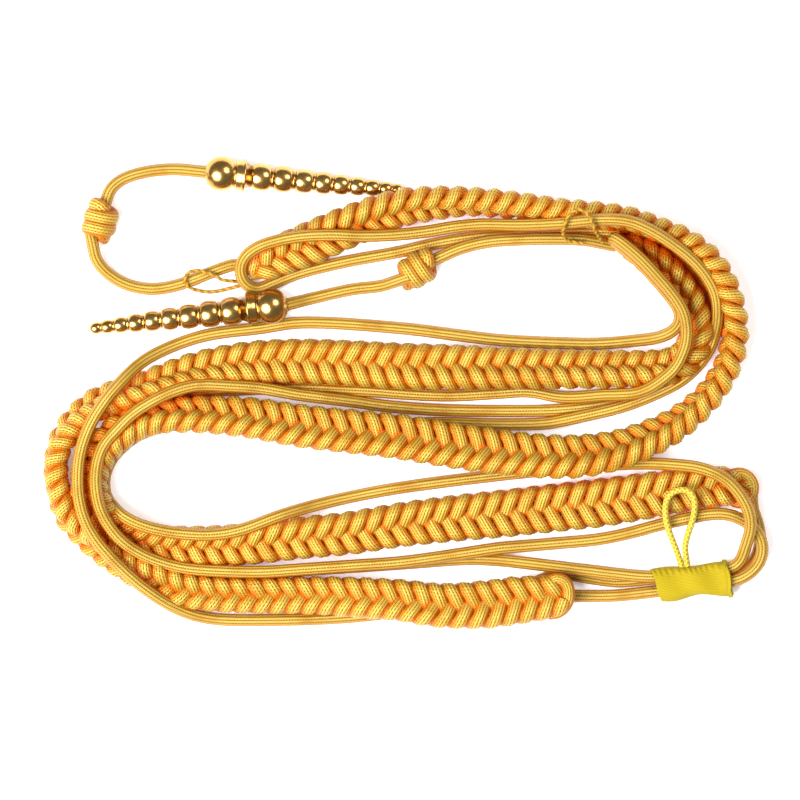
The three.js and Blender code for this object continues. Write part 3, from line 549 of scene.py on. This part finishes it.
in_plait = 0.004
in_knot = 0.008
in_tip = 0.0022
for name, route, at_start, at_end, solids in (
        ("long_loop_cord", long_loop_upper_route[::-1] + long_loop_lower_route, 0, 0,
         ["long_loop_upper", "long_loop_lower"]),
        ("short_loop_cord", short_loop_upper_route[::-1] + short_loop_lower_route, 0, 0,
         ["short_loop_upper", "short_loop_lower"]),
        ("long_tail_silk", long_tail_route, 0, 0, ["long_tail"]),
        ("short_tail_silk", short_tail_route, 0, 0, ["short_tail"]),
        ("long_tip_cord_silk", long_tip_cord_route, 0, in_knot, ["long_tip_cord"]),
        ("long_end_cord_silk", long_end_cord_route, in_knot, in_tip, ["long_end_cord"]),
        ("short_tip_cord_silk", short_tip_cord_route, in_plait, in_knot, ["short_tip_cord"]),
        ("short_end_cord_silk", short_end_cord_route, in_knot, in_tip, ["short_end_cord"])):
    line = longer(cord_line(route), at_start, at_end)
    piece = lay_cord(name, line, Material=gold_silk)
    finish_cord(piece, line, "gold_cord", cord_width, *solids)


# The two plaits, each of three gold cords plaited flat. They lie flat where they run straight
# and turn up on edge round the bends, and at the shoulder each ends in a strand turned back.
plait_ridges = 14
plait_thickness = 0.0104
plait_narrowing = 0.75
plait_squareness = 3.2
plait_on_table = 0.0002
edge_roll = 55
edge_lean = 0.8
strand_thickness = 0.0045
strand_lift = 0.0029

# The ridge colour, then painted shade: grooves (also the worn patches), stitch holes, sides, covered and
# most covered places.
plait_silk = knitted_silk(
    "plait_silk", plait_ridges, 0.62, 0.25,
    (0.5, 0.345, 0.05, 1), (0.39, 0.175, 0.006, 1), (0.05, 0.018, 0.001, 1),
    (0.46, 0.15, 0.001, 1), (0.58, 0.155, 0.001, 1), (0.82, 0.14, 0.001, 1))


def plait_half_height(roll, width):
    lean, upright = abs(math.sin(roll)), abs(math.cos(roll))
    thickness = min(plait_thickness, plait_narrowing * width)
    return max(width / 2 * lean, width / plait_squareness * lean + thickness / 2 * upright)


def make_plait_tree():
    """Plaits three cords along a line that carries its roll and its width."""
    tree, given, result = new_tree("plait", [
        ("Step", "Float", 0.001), ("Pitch", "Float", 0.02), ("Sense", "Float", 1.0),
        ("Height", "Float", strand_lift)] + skin_inputs)
    steps = even_curve(tree, given)
    roll = node(tree, "GeometryNodeInputNamedAttribute", {"Name": "roll"})
    width = node(tree, "GeometryNodeInputNamedAttribute", {"Name": "width"})
    heading = node(tree, "GeometryNodeInputTangent")
    level = vectors(tree, "NORMALIZE", vectors(tree, "CROSS_PRODUCT", (0, 0, 1), heading))
    up = vectors(tree, "CROSS_PRODUCT", heading, level)
    cosine, sine = maths(tree, "COSINE", roll), maths(tree, "SINE", roll)
    side = vectors(tree, "ADD", scaled(tree, level, cosine), scaled(tree, up, sine))
    top = vectors(tree, "SUBTRACT", scaled(tree, up, cosine), scaled(tree, level, sine))
    three = node(tree, "GeometryNodeDuplicateElements", {"Geometry": steps, "Amount": 3},
                 domain="SPLINE")
    turns = maths(tree, "ADD", maths(tree, "DIVIDE", length_along(tree), given["Pitch"]),
                  maths(tree, "DIVIDE", three.outputs["Duplicate Index"], 3.0))
    phase = times(tree, turns, 2 * math.pi)
    reach = times(tree, maths(tree, "SUBTRACT", width, given["Width"]), 0.5)
    across = times(tree, reach, maths(tree, "SINE", phase))
    wave = times(tree, maths(tree, "SINE", times(tree, phase, 2.0)), given["Sense"])
    room = maths(tree, "MINIMUM", times(tree, width, 0.2), given["Height"])
    lift = times(tree, wave, room)
    quarter = times(tree, maths(tree, "COSINE", phase), math.pi / 2)
    turn = times(tree, maths(tree, "SINE", quarter), math.pi / 2)
    over = times(tree, maths(tree, "SINE", turn), given["Sense"])
    face = vectors(tree, "ADD", scaled(tree, side, maths(tree, "COSINE", turn)),
                   scaled(tree, top, over))
    faced = keep_value(tree, three, "face", face, "FLOAT_VECTOR")
    offset = vectors(tree, "ADD", scaled(tree, side, across), scaled(tree, top, lift))
    woven = node(tree, "GeometryNodeSetPosition", {"Geometry": faced, "Offset": offset})
    add_skin(tree, face_cord(tree, woven), given, result)
    return tree


plait_tree = make_plait_tree()


def lay_plait(name, solid, route, left_off, sense, pitch, strand_width):
    """Plaits the strands along a route, and leaves off its last bit for the strand turned back."""
    middles = []
    for x, y, roll, width, *under in route:
        height = (under[0] if under else plait_on_table) + plait_half_height(math.radians(roll), width)
        middles.append(Vector((x, y, height)) + to_middle)
    places, rows = smooth_line(middles)
    rolls, widths = [], []
    for row in rows:
        before = min(int(row), len(route) - 2)
        share = row - before
        roll, width = (route[before][column] * (1 - share) + route[before + 1][column] * share
                       for column in (2, 3))
        rolls.append(math.radians(roll + edge_lean * max(0, roll - edge_roll)))
        widths.append(width)
    kept = len(places) - round(left_off / route_step)
    source = line_object(name, places[:kept])
    write_values(source, "roll", rolls[:kept])
    write_values(source, "width", widths[:kept])
    piece = run_tree(name, source, plait_tree, {
        "Sense": sense, "Pitch": pitch, "Width": strand_width, "Thickness": strand_thickness,
        "Height": strand_lift, "Ridges": plait_ridges, "Material": plait_silk})
    finish_piece(piece, "gold_cord", solid)


def turn_back(name, route):
    """The last strand of a plait, turned back over its end."""
    piece = lay_cord(name, cord_line(route), Width=0.0052, Thickness=0.0042, Ridges=plait_ridges,
                     Material=plait_silk)
    finish_piece(piece, "gold_cord")


long_braid_route = (
    (-0.0624, 0.0484, 0, 0.007, 0.0008), (-0.0584, 0.0504, 4, 0.013, 0.0004),
    (-0.0528, 0.0538, 6, 0.0175), (-0.0464, 0.057, 8, 0.019), (-0.0392, 0.06, 10, 0.0196),
    (-0.0232, 0.0668, 28, 0.0196), (-0.0032, 0.074, 44, 0.019), (0.0088, 0.0758, 55, 0.0182),
    (0.0248, 0.0766, 66, 0.0176), (0.0448, 0.0748, 68, 0.0175), (0.0608, 0.0724, 68, 0.0175),
    (0.0744, 0.0712, 68, 0.0175), (0.0874, 0.0693, 68, 0.0175), (0.0988, 0.0654, 68, 0.0175),
    (0.111, 0.0604, 68, 0.0175), (0.1206, 0.053, 68, 0.0175), (0.1268, 0.043, 68, 0.0175),
    (0.1302, 0.031, 68, 0.0175), (0.1306, 0.0214, 68, 0.0175), (0.1282, 0.0118, 68, 0.0175),
    (0.1228, 0.0022, 66, 0.0176), (0.1148, -0.0066, 62, 0.018, 0.0003),
    (0.105, -0.0138, 56, 0.0186, 0.0008), (0.095, -0.0186, 50, 0.0192, 0.002),
    (0.0848, -0.0224, 44, 0.0198, 0.0035), (0.0688, -0.0252, 34, 0.0204, 0.0052),
    (0.0528, -0.0252, 28, 0.0204, 0.0053), (0.0368, -0.0236, 22, 0.0206, 0.0053),
    (0.0168, -0.0208, 18, 0.0206, 0.0053), (-0.0032, -0.0176, 16, 0.0204, 0.0053),
    (-0.0432, -0.0132, 18, 0.0196, 0.0053), (-0.0632, -0.01, 24, 0.0188, 0.0052),
    (-0.0832, -0.0086, 38, 0.0178, 0.0038), (-0.0992, -0.0094, 52, 0.0172, 0.0036),
    (-0.1076, -0.0116, 44, 0.017, 0.0038), (-0.1144, -0.015, 32, 0.017, 0.005),
    (-0.12, -0.0194, 24, 0.017, 0.0053), (-0.1246, -0.0254, 20, 0.017, 0.0053),
    (-0.1272, -0.032, 18, 0.017, 0.0053), (-0.1276, -0.039, 16, 0.017, 0.0052),
    (-0.125, -0.0464, 14, 0.017, 0.0042), (-0.1198, -0.0524, 12, 0.0172, 0.003),
    (-0.1116, -0.0572, 10, 0.0178, 0.0014), (-0.1012, -0.0606, 10, 0.0182, 0.0003),
    (-0.0872, -0.0614, 10, 0.0184), (-0.0672, -0.0606, 12, 0.0188), (-0.0432, -0.058, 16, 0.019),
    (-0.0232, -0.056, 16, 0.0194), (-0.0032, -0.0528, 12, 0.02), (0.0168, -0.0504, 6, 0.0206),
    (0.0368, -0.0484, 0, 0.021), (0.0568, -0.0462, 0, 0.0214), (0.0768, -0.044, 0, 0.0216),
    (0.0968, -0.041, 0, 0.0206), (0.1168, -0.0382, 0, 0.02), (0.126, -0.0376, 0, 0.0184),
    (0.133, -0.0378, 0, 0.014), (0.1386, -0.0386, 0, 0.008, 0.0006),
)

short_braid_route = (
    (0.0836, 0.0606, 0, 0.007, 0.0006), (0.0896, 0.0582, 0, 0.013, 0.0003),
    (0.0964, 0.0542, 2, 0.0154), (0.1026, 0.049, 6, 0.016), (0.108, 0.043, 10, 0.016),
    (0.1122, 0.0366, 14, 0.016), (0.1146, 0.03, 18, 0.016), (0.1154, 0.0234, 22, 0.0162),
    (0.1132, 0.0168, 26, 0.0164), (0.1082, 0.012, 30, 0.017), (0.0988, 0.0098, 32, 0.0174),
    (0.0888, 0.0096, 32, 0.0176), (0.0608, 0.0096, 28, 0.0184), (0.0368, 0.01, 22, 0.0194),
    (0.0168, 0.0104, 14, 0.0204), (-0.0032, 0.0108, 8, 0.0208), (-0.0232, 0.012, 2, 0.0204),
    (-0.0432, 0.0128, 0, 0.02), (-0.0632, 0.0122, 8, 0.0192, 0.0004),
    (-0.0832, 0.009, 24, 0.0182, 0.0014), (-0.0952, 0.0054, 38, 0.0176, 0.002),
    (-0.1032, 0.0026, 46, 0.0174, 0.0022), (-0.112, -0.0004, 50, 0.0172, 0.002),
    (-0.1209, -0.0028, 52, 0.0172, 0.0014), (-0.1262, -0.0056, 54, 0.0172, 0.0008),
    (-0.1308, -0.0092, 58, 0.017, 0.0004), (-0.1352, -0.0138, 62, 0.017),
    (-0.1388, -0.0194, 68, 0.017), (-0.1406, -0.0256, 72, 0.017), (-0.141, -0.0316, 72, 0.017),
    (-0.14, -0.038, 72, 0.017), (-0.1384, -0.0444, 70, 0.017), (-0.1354, -0.0504, 66, 0.017),
    (-0.1304, -0.0554, 62, 0.017), (-0.1248, -0.0602, 56, 0.017), (-0.1188, -0.0644, 50, 0.017),
    (-0.1122, -0.0688, 42, 0.017), (-0.1028, -0.0736, 30, 0.0168), (-0.093, -0.0776, 16, 0.0164),
    (-0.0832, -0.0798, 4, 0.0162), (-0.0632, -0.081, 0, 0.0164), (-0.0432, -0.081, 0, 0.017, 0.0004),
    (-0.0232, -0.0816, -4, 0.018, 0.0024), (-0.0032, -0.083, -4, 0.019, 0.0044),
    (0.0128, -0.085, 0, 0.02, 0.0053), (0.0308, -0.0846, 0, 0.0216, 0.0053),
    (0.042, -0.0832, 0, 0.0216, 0.0053), (0.054, -0.0818, 0, 0.02, 0.0053),
    (0.0608, -0.0808, 0, 0.0176, 0.0053), (0.065, -0.0802, 0, 0.013, 0.0053),
    (0.0668, -0.08, 0, 0.008, 0.0055),
)

lay_plait("long_plait", "long_braid", long_braid_route, 0.001, 1.0, 0.0205, 0.0058)
turn_back("long_plait_end", (
    (0.128, -0.034, 0.004), (0.1312, -0.0322, 0.0044), (0.1348, -0.0324, 0.0046),
    (0.1376, -0.0352, 0.0044), (0.1384, -0.0388, 0.0042), (0.1368, -0.0424, 0.0036),
    (0.134, -0.0442, 0.003), (0.1304, -0.0432, 0.0024)))
lay_plait("short_plait", "short_braid", short_braid_route, 0.005, -1.0, 0.0199, 0.006)
turn_back("short_plait_end", (
    (0.0536, -0.0814, 0.0074), (0.0552, -0.0787, 0.0096), (0.0564, -0.0756, 0.0106),
    (0.0592, -0.0738, 0.0108), (0.0624, -0.0748, 0.0106), (0.0642, -0.078, 0.01),
    (0.0642, -0.082, 0.0104), (0.0628, -0.0856, 0.01), (0.0598, -0.088, 0.0086),
    (0.0566, -0.0882, 0.0068)))
turn_back("short_plait_under_end", (
    (0.0556, -0.0762, 0.0064), (0.0592, -0.0742, 0.0062), (0.0624, -0.0752, 0.006),
    (0.0642, -0.078, 0.0056), (0.0642, -0.082, 0.0053), (0.0626, -0.0852, 0.0052),
    (0.0586, -0.0866, 0.0054)))


# The two barrel knots, each made by winding a gold cord nearly three times round itself and pulling
# it tight. The turns stand side by side, the middle one is the largest, and both ends are tucked in.
knot_start = 3.6
knot_turns = 2.6
knot_turn_pitch = 0.0057
knot_turn_lean = 0.0006
knot_radius = 0.0043
knot_belly = 0.2
knot_flattening = 0.78
knot_tuck = 0.0034
knot_tuck_steps = 8
knot_steps = round(44 * knot_turns)


def tie_knot(name, solid, middle, axis):
    middle = Vector(middle) + to_middle
    axis = Vector(axis).normalized()
    side = Vector((-axis.y, axis.x, 0))
    up = Vector((0, 0, 1))
    places, faces = [], []
    for i in range(-knot_tuck_steps, knot_steps + knot_tuck_steps + 1):
        share = i / knot_steps
        turned = 2 * math.pi * knot_turns * share
        out = (side * math.cos(knot_start + turned)
               + up * math.sin(knot_start + turned) * knot_flattening)
        tucked = knot_tuck * max(0, -i, i - knot_steps) / knot_tuck_steps
        swell = knot_radius * (1 + knot_belly * max(0, math.sin(math.pi * share))) - tucked
        travel = (share - 0.5) * knot_turn_pitch * (knot_turns - 0.5)
        travel += knot_turn_lean * math.sin(turned) + math.copysign(tucked, knot_steps / 2 - i)
        places.append(middle + axis * travel + out * swell)
        faces.append(out)
    piece = lay_cord(name, places, faces, Width=0.0061, Thickness=0.0044, Ridges=plait_ridges,
                     Material=plait_silk)
    finish_piece(piece, "gold_cord", solid)


tie_knot("long_barrel_knot", "long_knot", (-0.1232, 0.069, 0.0062), (0.0052, 0.018, 0))
tie_knot("short_barrel_knot", "short_knot", (0.0038, 0.0494, 0.0062), (0.0164, 0.0092, 0))


# The two tips, turned from brass and gilt. A ball holds the cord end, then come a waist and a
# flared collar, and nine beads that grow smaller down to a rounded point.
tip_length = 0.08
tip_sides = 48
tip_mouth = (
    # place from the neck, radius
    (0.0026, 0.0027), (0, 0.0027), (0, 0.0032))
tip_neck = 0.0034
tip_ball_middle = 0.0066
tip_ball_radius = 0.0072
tip_ball_steps = 20
tip_waist = 0.0051
tip_collar = (
    # place from the neck, radius
    (0.0119, 0.0051), (0.0121, 0.0056), (0.0123, 0.0058), (0.0126, 0.0061), (0.0143, 0.0061),
    (0.0147, 0.0063), (0.0153, 0.0067), (0.0157, 0.0068), (0.0160, 0.0067), (0.0162, 0.0060),
    (0.0164, 0.0052), (0.0186, 0.0044))
tip_beads = (
    # middle, radius
    (0.0227, 0.0057), (0.0313, 0.0054), (0.0399, 0.0050), (0.0476, 0.0046), (0.0547, 0.0042),
    (0.0614, 0.0038), (0.0675, 0.00335), (0.0729, 0.0029), (0.0775, 0.0025))
tip_bead_steps = 14
tip_bead_share = 0.43
tip_bead_waist = 0.7
tip_ring = (
    # place from the middle of the gap, share of the ring's radius
    (-0.0004, 0.8), (-0.0003, 1), (0.0003, 1), (0.0004, 0.8))
tip_ring_share = 0.78
tip_point = 0.00001

gilt_brass, gilt_tree, gilt_shader = new_material("gilt_brass", Metallic=1)
scratches = cloudy(gilt_tree, 900.0, 4.0)
tarnish = soft_step(gilt_tree, cloudy(gilt_tree, 120.0, 2.0), 0.3, 0.8)
feed(gilt_shader, {
    "Base Color": mixed(gilt_tree, tarnish, (0.56, 0.34, 0.11, 1), (0.46, 0.25, 0.06, 1)),
    "Roughness": node(gilt_tree, "ShaderNodeMapRange",
                      {"Value": scratches, "To Min": 0.16, "To Max": 0.3}),
    "Normal": bumps(gilt_tree, 0.1, 0.00002, scratches)})


def tip_bead(middle, radius, back, ahead, last_waist):
    """The outline of a rounded bead, from the waist behind it to the one before it."""
    first_waist = radius * tip_bead_waist
    for k in range(tip_bead_steps + 1):
        turn = math.pi * k / tip_bead_steps
        reach, waist = (back, first_waist) if 2 * k < tip_bead_steps else (ahead, last_waist)
        yield middle - reach * math.cos(turn), waist + (radius - waist) * math.sin(turn)


def tip_outline():
    yield from tip_mouth
    first = math.asin(tip_neck / tip_ball_radius)
    last = math.pi - math.asin(tip_waist / tip_ball_radius)
    for i in range(tip_ball_steps + 1):
        turn = first + (last - first) * i / tip_ball_steps
        yield tip_ball_middle - tip_ball_radius * math.cos(turn), tip_ball_radius * math.sin(turn)
    yield from tip_collar
    back = tip_beads[0][0] - tip_collar[-1][0]
    for (middle, radius), (next_middle, next_radius) in zip(tip_beads, tip_beads[1:]):
        gap = next_middle - middle
        yield from tip_bead(middle, radius, back, tip_bead_share * gap, radius * tip_bead_waist)
        ring = tip_ring_share * (radius + next_radius) / 2
        for shift, share in tip_ring:
            yield middle + gap / 2 + shift, ring * share
        back = tip_bead_share * gap
    middle, radius = tip_beads[-1]
    yield from tip_bead(middle, radius, back, tip_length - middle, tip_point)


def turn_tip(name, solid, neck, point):
    neck, point = Vector(neck) + to_middle, Vector(point) + to_middle
    aim = (point - neck).to_track_quat("Z", "Y").to_matrix()
    outline = list(tip_outline())
    places = [neck + aim @ Vector((radius * math.cos(2 * math.pi * k / tip_sides),
                                   radius * math.sin(2 * math.pi * k / tip_sides), place))
              for place, radius in outline for k in range(tip_sides)]
    rings = [[row * tip_sides + k for k in range(tip_sides)] for row in range(len(outline))]
    faces = [(here[k], here[(k + 1) % tip_sides], there[(k + 1) % tip_sides], there[k])
             for here, there in zip(rings, rings[1:]) for k in range(tip_sides)]
    piece = new_mesh_piece(name, places, faces + [rings[0][::-1], rings[-1]], gilt_brass)
    piece.data.shade_smooth()
    finish_piece(piece, "gilt_metal", solid)


turn_tip("long_gilt_tip", "long_tip", (-0.0812, 0.0884, 0.0076), (-0.002, 0.0812, 0.0029))
turn_tip("short_gilt_tip", "short_tip", (-0.0484, 0.0356, 0.0076), (-0.1284, 0.0256, 0.0029))


# The loop that goes over the button under the shoulder strap, a round cord braided from pale
# yellow yarn. Both its ends are sewn into the tape.
button_cord_diameter = 0.0026
button_cord_in_tape = 0.003


def braided_yarn(name, light_colour, gap_shade_colour, rows, lay):
    """Yarns crossing both ways round a thin cord, painted darker between them as painted shade. The lay
    is the length from crossing to crossing.
    """
    material, tree, shader = new_material(name, Roughness=0.55, Specular_IOR_Level=0.2)
    up, angle, along = round_and_along(tree)
    angle = times(tree, angle, float(rows))
    travel = times(tree, along, 2 * math.pi / lay)
    one_way = maths(tree, "COSINE", maths(tree, "ADD", angle, travel))
    other_way = maths(tree, "COSINE", maths(tree, "SUBTRACT", angle, travel))
    woven = maths(tree, "MAXIMUM", one_way, other_way)
    # Painted shade: the yarn is painted darker in the gaps between its crossing strands.
    base = mixed(tree, soft_step(tree, woven, -0.4, 0.7), gap_shade_colour, light_colour)
    feed(shader, {"Base Color": base, "Normal": bumps(tree, 0.9, 0.0002, woven)})
    return material


pale_yarn = braided_yarn("pale_yarn", (0.55, 0.42, 0.055, 1), (0.38, 0.26, 0.018, 1), 3, 0.0019)

button_loop_route = (
    (0.1088, -0.067, 0.0062), (0.1072, -0.0624, 0.0084), (0.1044, -0.0554, 0.0108),
    (0.103, -0.0496, 0.0116), (0.1029, -0.0445, 0.0118), (0.1045, -0.0407, 0.012),
    (0.1077, -0.0388, 0.012), (0.1115, -0.0388, 0.012), (0.1142, -0.0413, 0.012),
    (0.1146, -0.0464, 0.0118), (0.1136, -0.0515, 0.0114), (0.1118, -0.0566, 0.0106),
    (0.1108, -0.0614, 0.0088), (0.1114, -0.0666, 0.0064),
)

line = longer(cord_line(button_loop_route, button_cord_diameter),
              button_cord_in_tape, button_cord_in_tape)
piece = lay_cord("button_loop_cord", line, Width=button_cord_diameter,
                 Thickness=button_cord_diameter, Ridges=6, Ridge_Height=0.05, Step=0.0007,
                 Material=pale_yarn)
finish_cord(piece, line, "pale_cord", button_cord_diameter, "button_loop")


# The two thin loops at the doubled ends of the plain cords, twisted from a few gold threads. The
# doubled ends hang from them inside the uniform.
thread_diameter = 0.0016
thread_lay = 0.003
thread_yarn = braided_yarn("twisted_thread", (0.4, 0.22, 0.016, 1), (0.26, 0.12, 0.006, 1), 1, 1.0)

long_thread_loop_route = (
    (-0.0699, 0.0448, 0.0034), (-0.0744, 0.0452, 0.0044), (-0.0776, 0.0472, 0.0047),
    (-0.0812, 0.0484, 0.0047), (-0.0848, 0.0492, 0.0047), (-0.0884, 0.048, 0.0047),
    (-0.0894, 0.0452, 0.0049), (-0.0876, 0.0422, 0.0026), (-0.0848, 0.0412, 0.0012),
    (-0.0796, 0.0404, 0.0004), (-0.0744, 0.0412, 0.001), (-0.0696, 0.0424, 0.0024),
)

short_thread_loop_route = (
    (0.0776, 0.0608, 0.011), (0.0756, 0.0636, 0.0166), (0.074, 0.0666, 0.021), (0.072, 0.071, 0.0214),
    (0.0682, 0.0734, 0.021), (0.0644, 0.0712, 0.02), (0.0624, 0.0666, 0.0188), (0.062, 0.0634, 0.0144),
    (0.064, 0.061, 0.01), (0.069, 0.06, 0.0098),
)

for solid, route, tucked in (("long_thread_loop", long_thread_loop_route, 0.003),
                             ("short_thread_loop", short_thread_loop_route, 0.001)):
    line = longer(cord_line(route, thread_diameter), tucked, tucked)
    piece = lay_cord(solid + "_yarn", line, Width=thread_diameter, Thickness=thread_diameter,
                     Ridges=3, Ridge_Height=0.14, Step=0.0003, Twist=2 * math.pi / thread_lay,
                     Material=thread_yarn)
    finish_cord(piece, line, "gold_cord", thread_diameter, solid)


# The sleeve of lemon grosgrain tape that binds the cords together at the shoulder. It is wrapped
# round them flat, its cut edge is stitched down along the far side, and its end is folded back.
tape_middle = Vector((0.1141, -0.0754, 0.0054)) + to_middle
tape_turn = Matrix.Rotation(math.radians(5.4), 3, "Z")
tape_length = 0.0298
tape_half_width = 0.0065
tape_half_height = 0.0053
tape_wall = 0.0007
tape_side_round = 0.62
tape_top_round = 0.8
tape_stitches = 13
tape_columns = 88
rib_pitch = 0.0006
pick_pitch = 0.00045

lemon_tape, lemon_tree, lemon_shader = new_material(
    "lemon_tape", Roughness=0.7, Specular_IOR_Level=0.2)
weave = node(lemon_tree, "ShaderNodeUVMap", uv_map="weave")
along_tape, round_tape = node(lemon_tree, "ShaderNodeSeparateXYZ", {0: weave}).outputs[:2]
rib, pick = (maths(lemon_tree, "SINE", times(lemon_tree, way, 2 * math.pi / pitch))
             for way, pitch in ((round_tape, rib_pitch), (along_tape, pick_pitch)))
# Painted shade: the troughs between the tape's ribs are painted darker.
lemon = mixed(lemon_tree, soft_step(lemon_tree, rib, -1.0, 0.4),
              (0.27, 0.19, 0.001, 1), (0.38, 0.285, 0.002, 1))
lemon = mixed(lemon_tree, soft_step(lemon_tree, cloudy(lemon_tree, 260.0, 3.0), 0.35, 0.8),
              lemon, (0.33, 0.24, 0.002, 1))
weave_height = maths(lemon_tree, "ADD", rib, times(lemon_tree, pick, 0.25))
feed(lemon_shader, {"Base Color": lemon,
                    "Normal": bumps(lemon_tree, 0.45, 0.00015, weave_height)})


def tape_place(share, turn, inset):
    """A point of the sleeve: share along it from 0 to 1, turn round it, inset into its wall."""
    across, up = math.cos(turn), math.sin(turn)
    side_wave = 0.0004 * math.sin(9 * share + 1.3 * up)
    sag = 0.0005 * math.sin(5 * share + 0.6) ** 2
    top_wave = 0.0003 * math.sin(14 * share + 2 * across) * max(up, 0)
    near_wave = 0.0005 * math.sin(2 * math.pi * (share * 1.15 + 0.1)) * max(-across, 0)
    slant = -0.0016 * across * (1 - share) - 0.0006 * across * share
    cut_wave = 0.0003 * math.sin(5 * turn) * (share > 0.5)
    pucker = 0.00022 * math.sin(2 * math.pi * share * tape_stitches + math.sin(11 * share))
    at_seam = max(0, math.sin(2 * turn)) ** 3 * (across > 0) * (up > 0)
    x = (share - 0.5) * tape_length + slant + cut_wave
    y = (tape_half_width - inset + side_wave) * math.copysign(abs(across) ** tape_side_round, across)
    z = (tape_half_height - inset - sag) * math.copysign(abs(up) ** tape_top_round, up)
    z += top_wave + pucker * at_seam
    return Vector((x, y - near_wave, max(z, -tape_half_height)))


def sew_sleeve(name, start, end, lift, rows):
    """A closed shell of tape from start to end of the sleeve, lifted off the one below."""
    rings = [[tape_place(start + (end - start) * i / rows, 2 * math.pi * k / tape_columns, layer)
              for k in range(tape_columns)]
             for layer in (-lift, tape_wall - lift) for i in range(rows + 1)]
    places = [tape_middle + tape_turn @ place for ring in rings for place in ring]
    inside = rows + 1
    faces = []

    def join(a, b, way):
        for k in range(tape_columns):
            n = (k + 1) % tape_columns
            corners = ((a, k), (a, n), (b, n), (b, k))[::way]
            faces.append([ring * tape_columns + column for ring, column in corners])

    for i in range(rows):
        join(i, i + 1, 1)
        join(inside + i, inside + i + 1, -1)
    join(0, inside, -1)
    join(rows, inside + rows, 1)
    piece = new_mesh_piece(name, places, faces, lemon_tape)
    mesh = piece.data
    weave_map = mesh.uv_layers.new(name="weave")
    middle_ring = rings[rows // 2]
    walked = [0]
    for here, there in zip(middle_ring, middle_ring[1:] + middle_ring[:1]):
        walked.append(walked[-1] + (there - here).length)
    for polygon in mesh.polygons:
        turns = [mesh.loops[i].vertex_index % tape_columns for i in polygon.loop_indices]
        wraps = max(turns) - min(turns) > tape_columns / 2
        for i, turn in zip(polygon.loop_indices, turns):
            share = (mesh.loops[i].vertex_index // tape_columns % inside) / rows
            turn = turn + tape_columns if wraps and turn < tape_columns / 2 else turn
            weave_map.data[i].uv = (share * tape_length * (end - start), walked[turn])
    mesh.shade_smooth()
    return piece


finish_piece(sew_sleeve("tape_sleeve", 0, 1, 0, 104), "lemon_tape", "shoulder_tape")
finish_piece(sew_sleeve("tape_fold", 0.945, 0.99, 0.0008, 8), "lemon_tape")


# Painted shade: a cord is painted orange where other cords stand over it. Each point of a cord keeps how
# much of the sky before it the cords cover, which its colour follows.
sky_rings = (
    # lean from straight up in degrees, directions
    (0, 1), (28, 5), (52, 6), (72, 4))
sky_reach = 0.016
off_the_skin = 0.0004


def make_cover_tree():
    """Counts the directions of the sky that something near stands in. Only the values are used."""
    tree, given, result = new_tree("sky_cover", [("Cords", "Collection", None)])
    near = node(tree, "GeometryNodeCollectionInfo", {"Collection": given["Cords"]})
    near = node(tree, "GeometryNodeRealizeInstances", {0: near})
    normal = node(tree, "GeometryNodeInputNormal")
    start = vectors(tree, "ADD", node(tree, "GeometryNodeInputPosition"),
                    scaled(tree, normal, off_the_skin))
    lost, whole = 0.0, 0.0
    for lean, count in sky_rings:
        lean = math.radians(lean)
        for k in range(count):
            turn = 2 * math.pi * (k + 0.5 * (count % 2)) / count
            way = (math.sin(lean) * math.cos(turn), math.sin(lean) * math.sin(turn), math.cos(lean))
            ray = node(tree, "GeometryNodeRaycast", {
                "Target Geometry": near, "Source Position": start,
                "Ray Direction": way, "Ray Length": sky_reach})
            facing = vectors(tree, "DOT_PRODUCT", normal, way).outputs["Value"]
            weight = maths(tree, "MAXIMUM", facing, 0.0)
            lost = maths(tree, "ADD", times(tree, ray.outputs["Is Hit"], weight), lost)
            whole = maths(tree, "ADD", weight, whole)
    share = maths(tree, "DIVIDE", lost, maths(tree, "MAXIMUM", whole, 0.5))
    feed(result, {0: keep_value(tree, given["Geometry"], "covered", share)})
    return tree


cover_tree = make_cover_tree()
silk_pieces = [piece for piece in bpy.context.scene.collection.objects
               if piece.type == "MESH" and set(piece.data.materials) & {gold_silk, plait_silk}]
silk_cords = bpy.data.collections.new("silk_cords")
for piece in silk_pieces:
    silk_cords.objects.link(piece)
for piece in silk_pieces:
    source = put_in_scene("cover_source", piece.data)
    shaded = run_tree("cover_result", source, cover_tree, {"Cords": silk_cords}).data
    covered = [0.0] * len(shaded.vertices)
    shaded.attributes["covered"].data.foreach_get("value", covered)
    write_values(piece, "covered", covered)
    bpy.data.meshes.remove(shaded)
bpy.data.collections.remove(silk_cords)
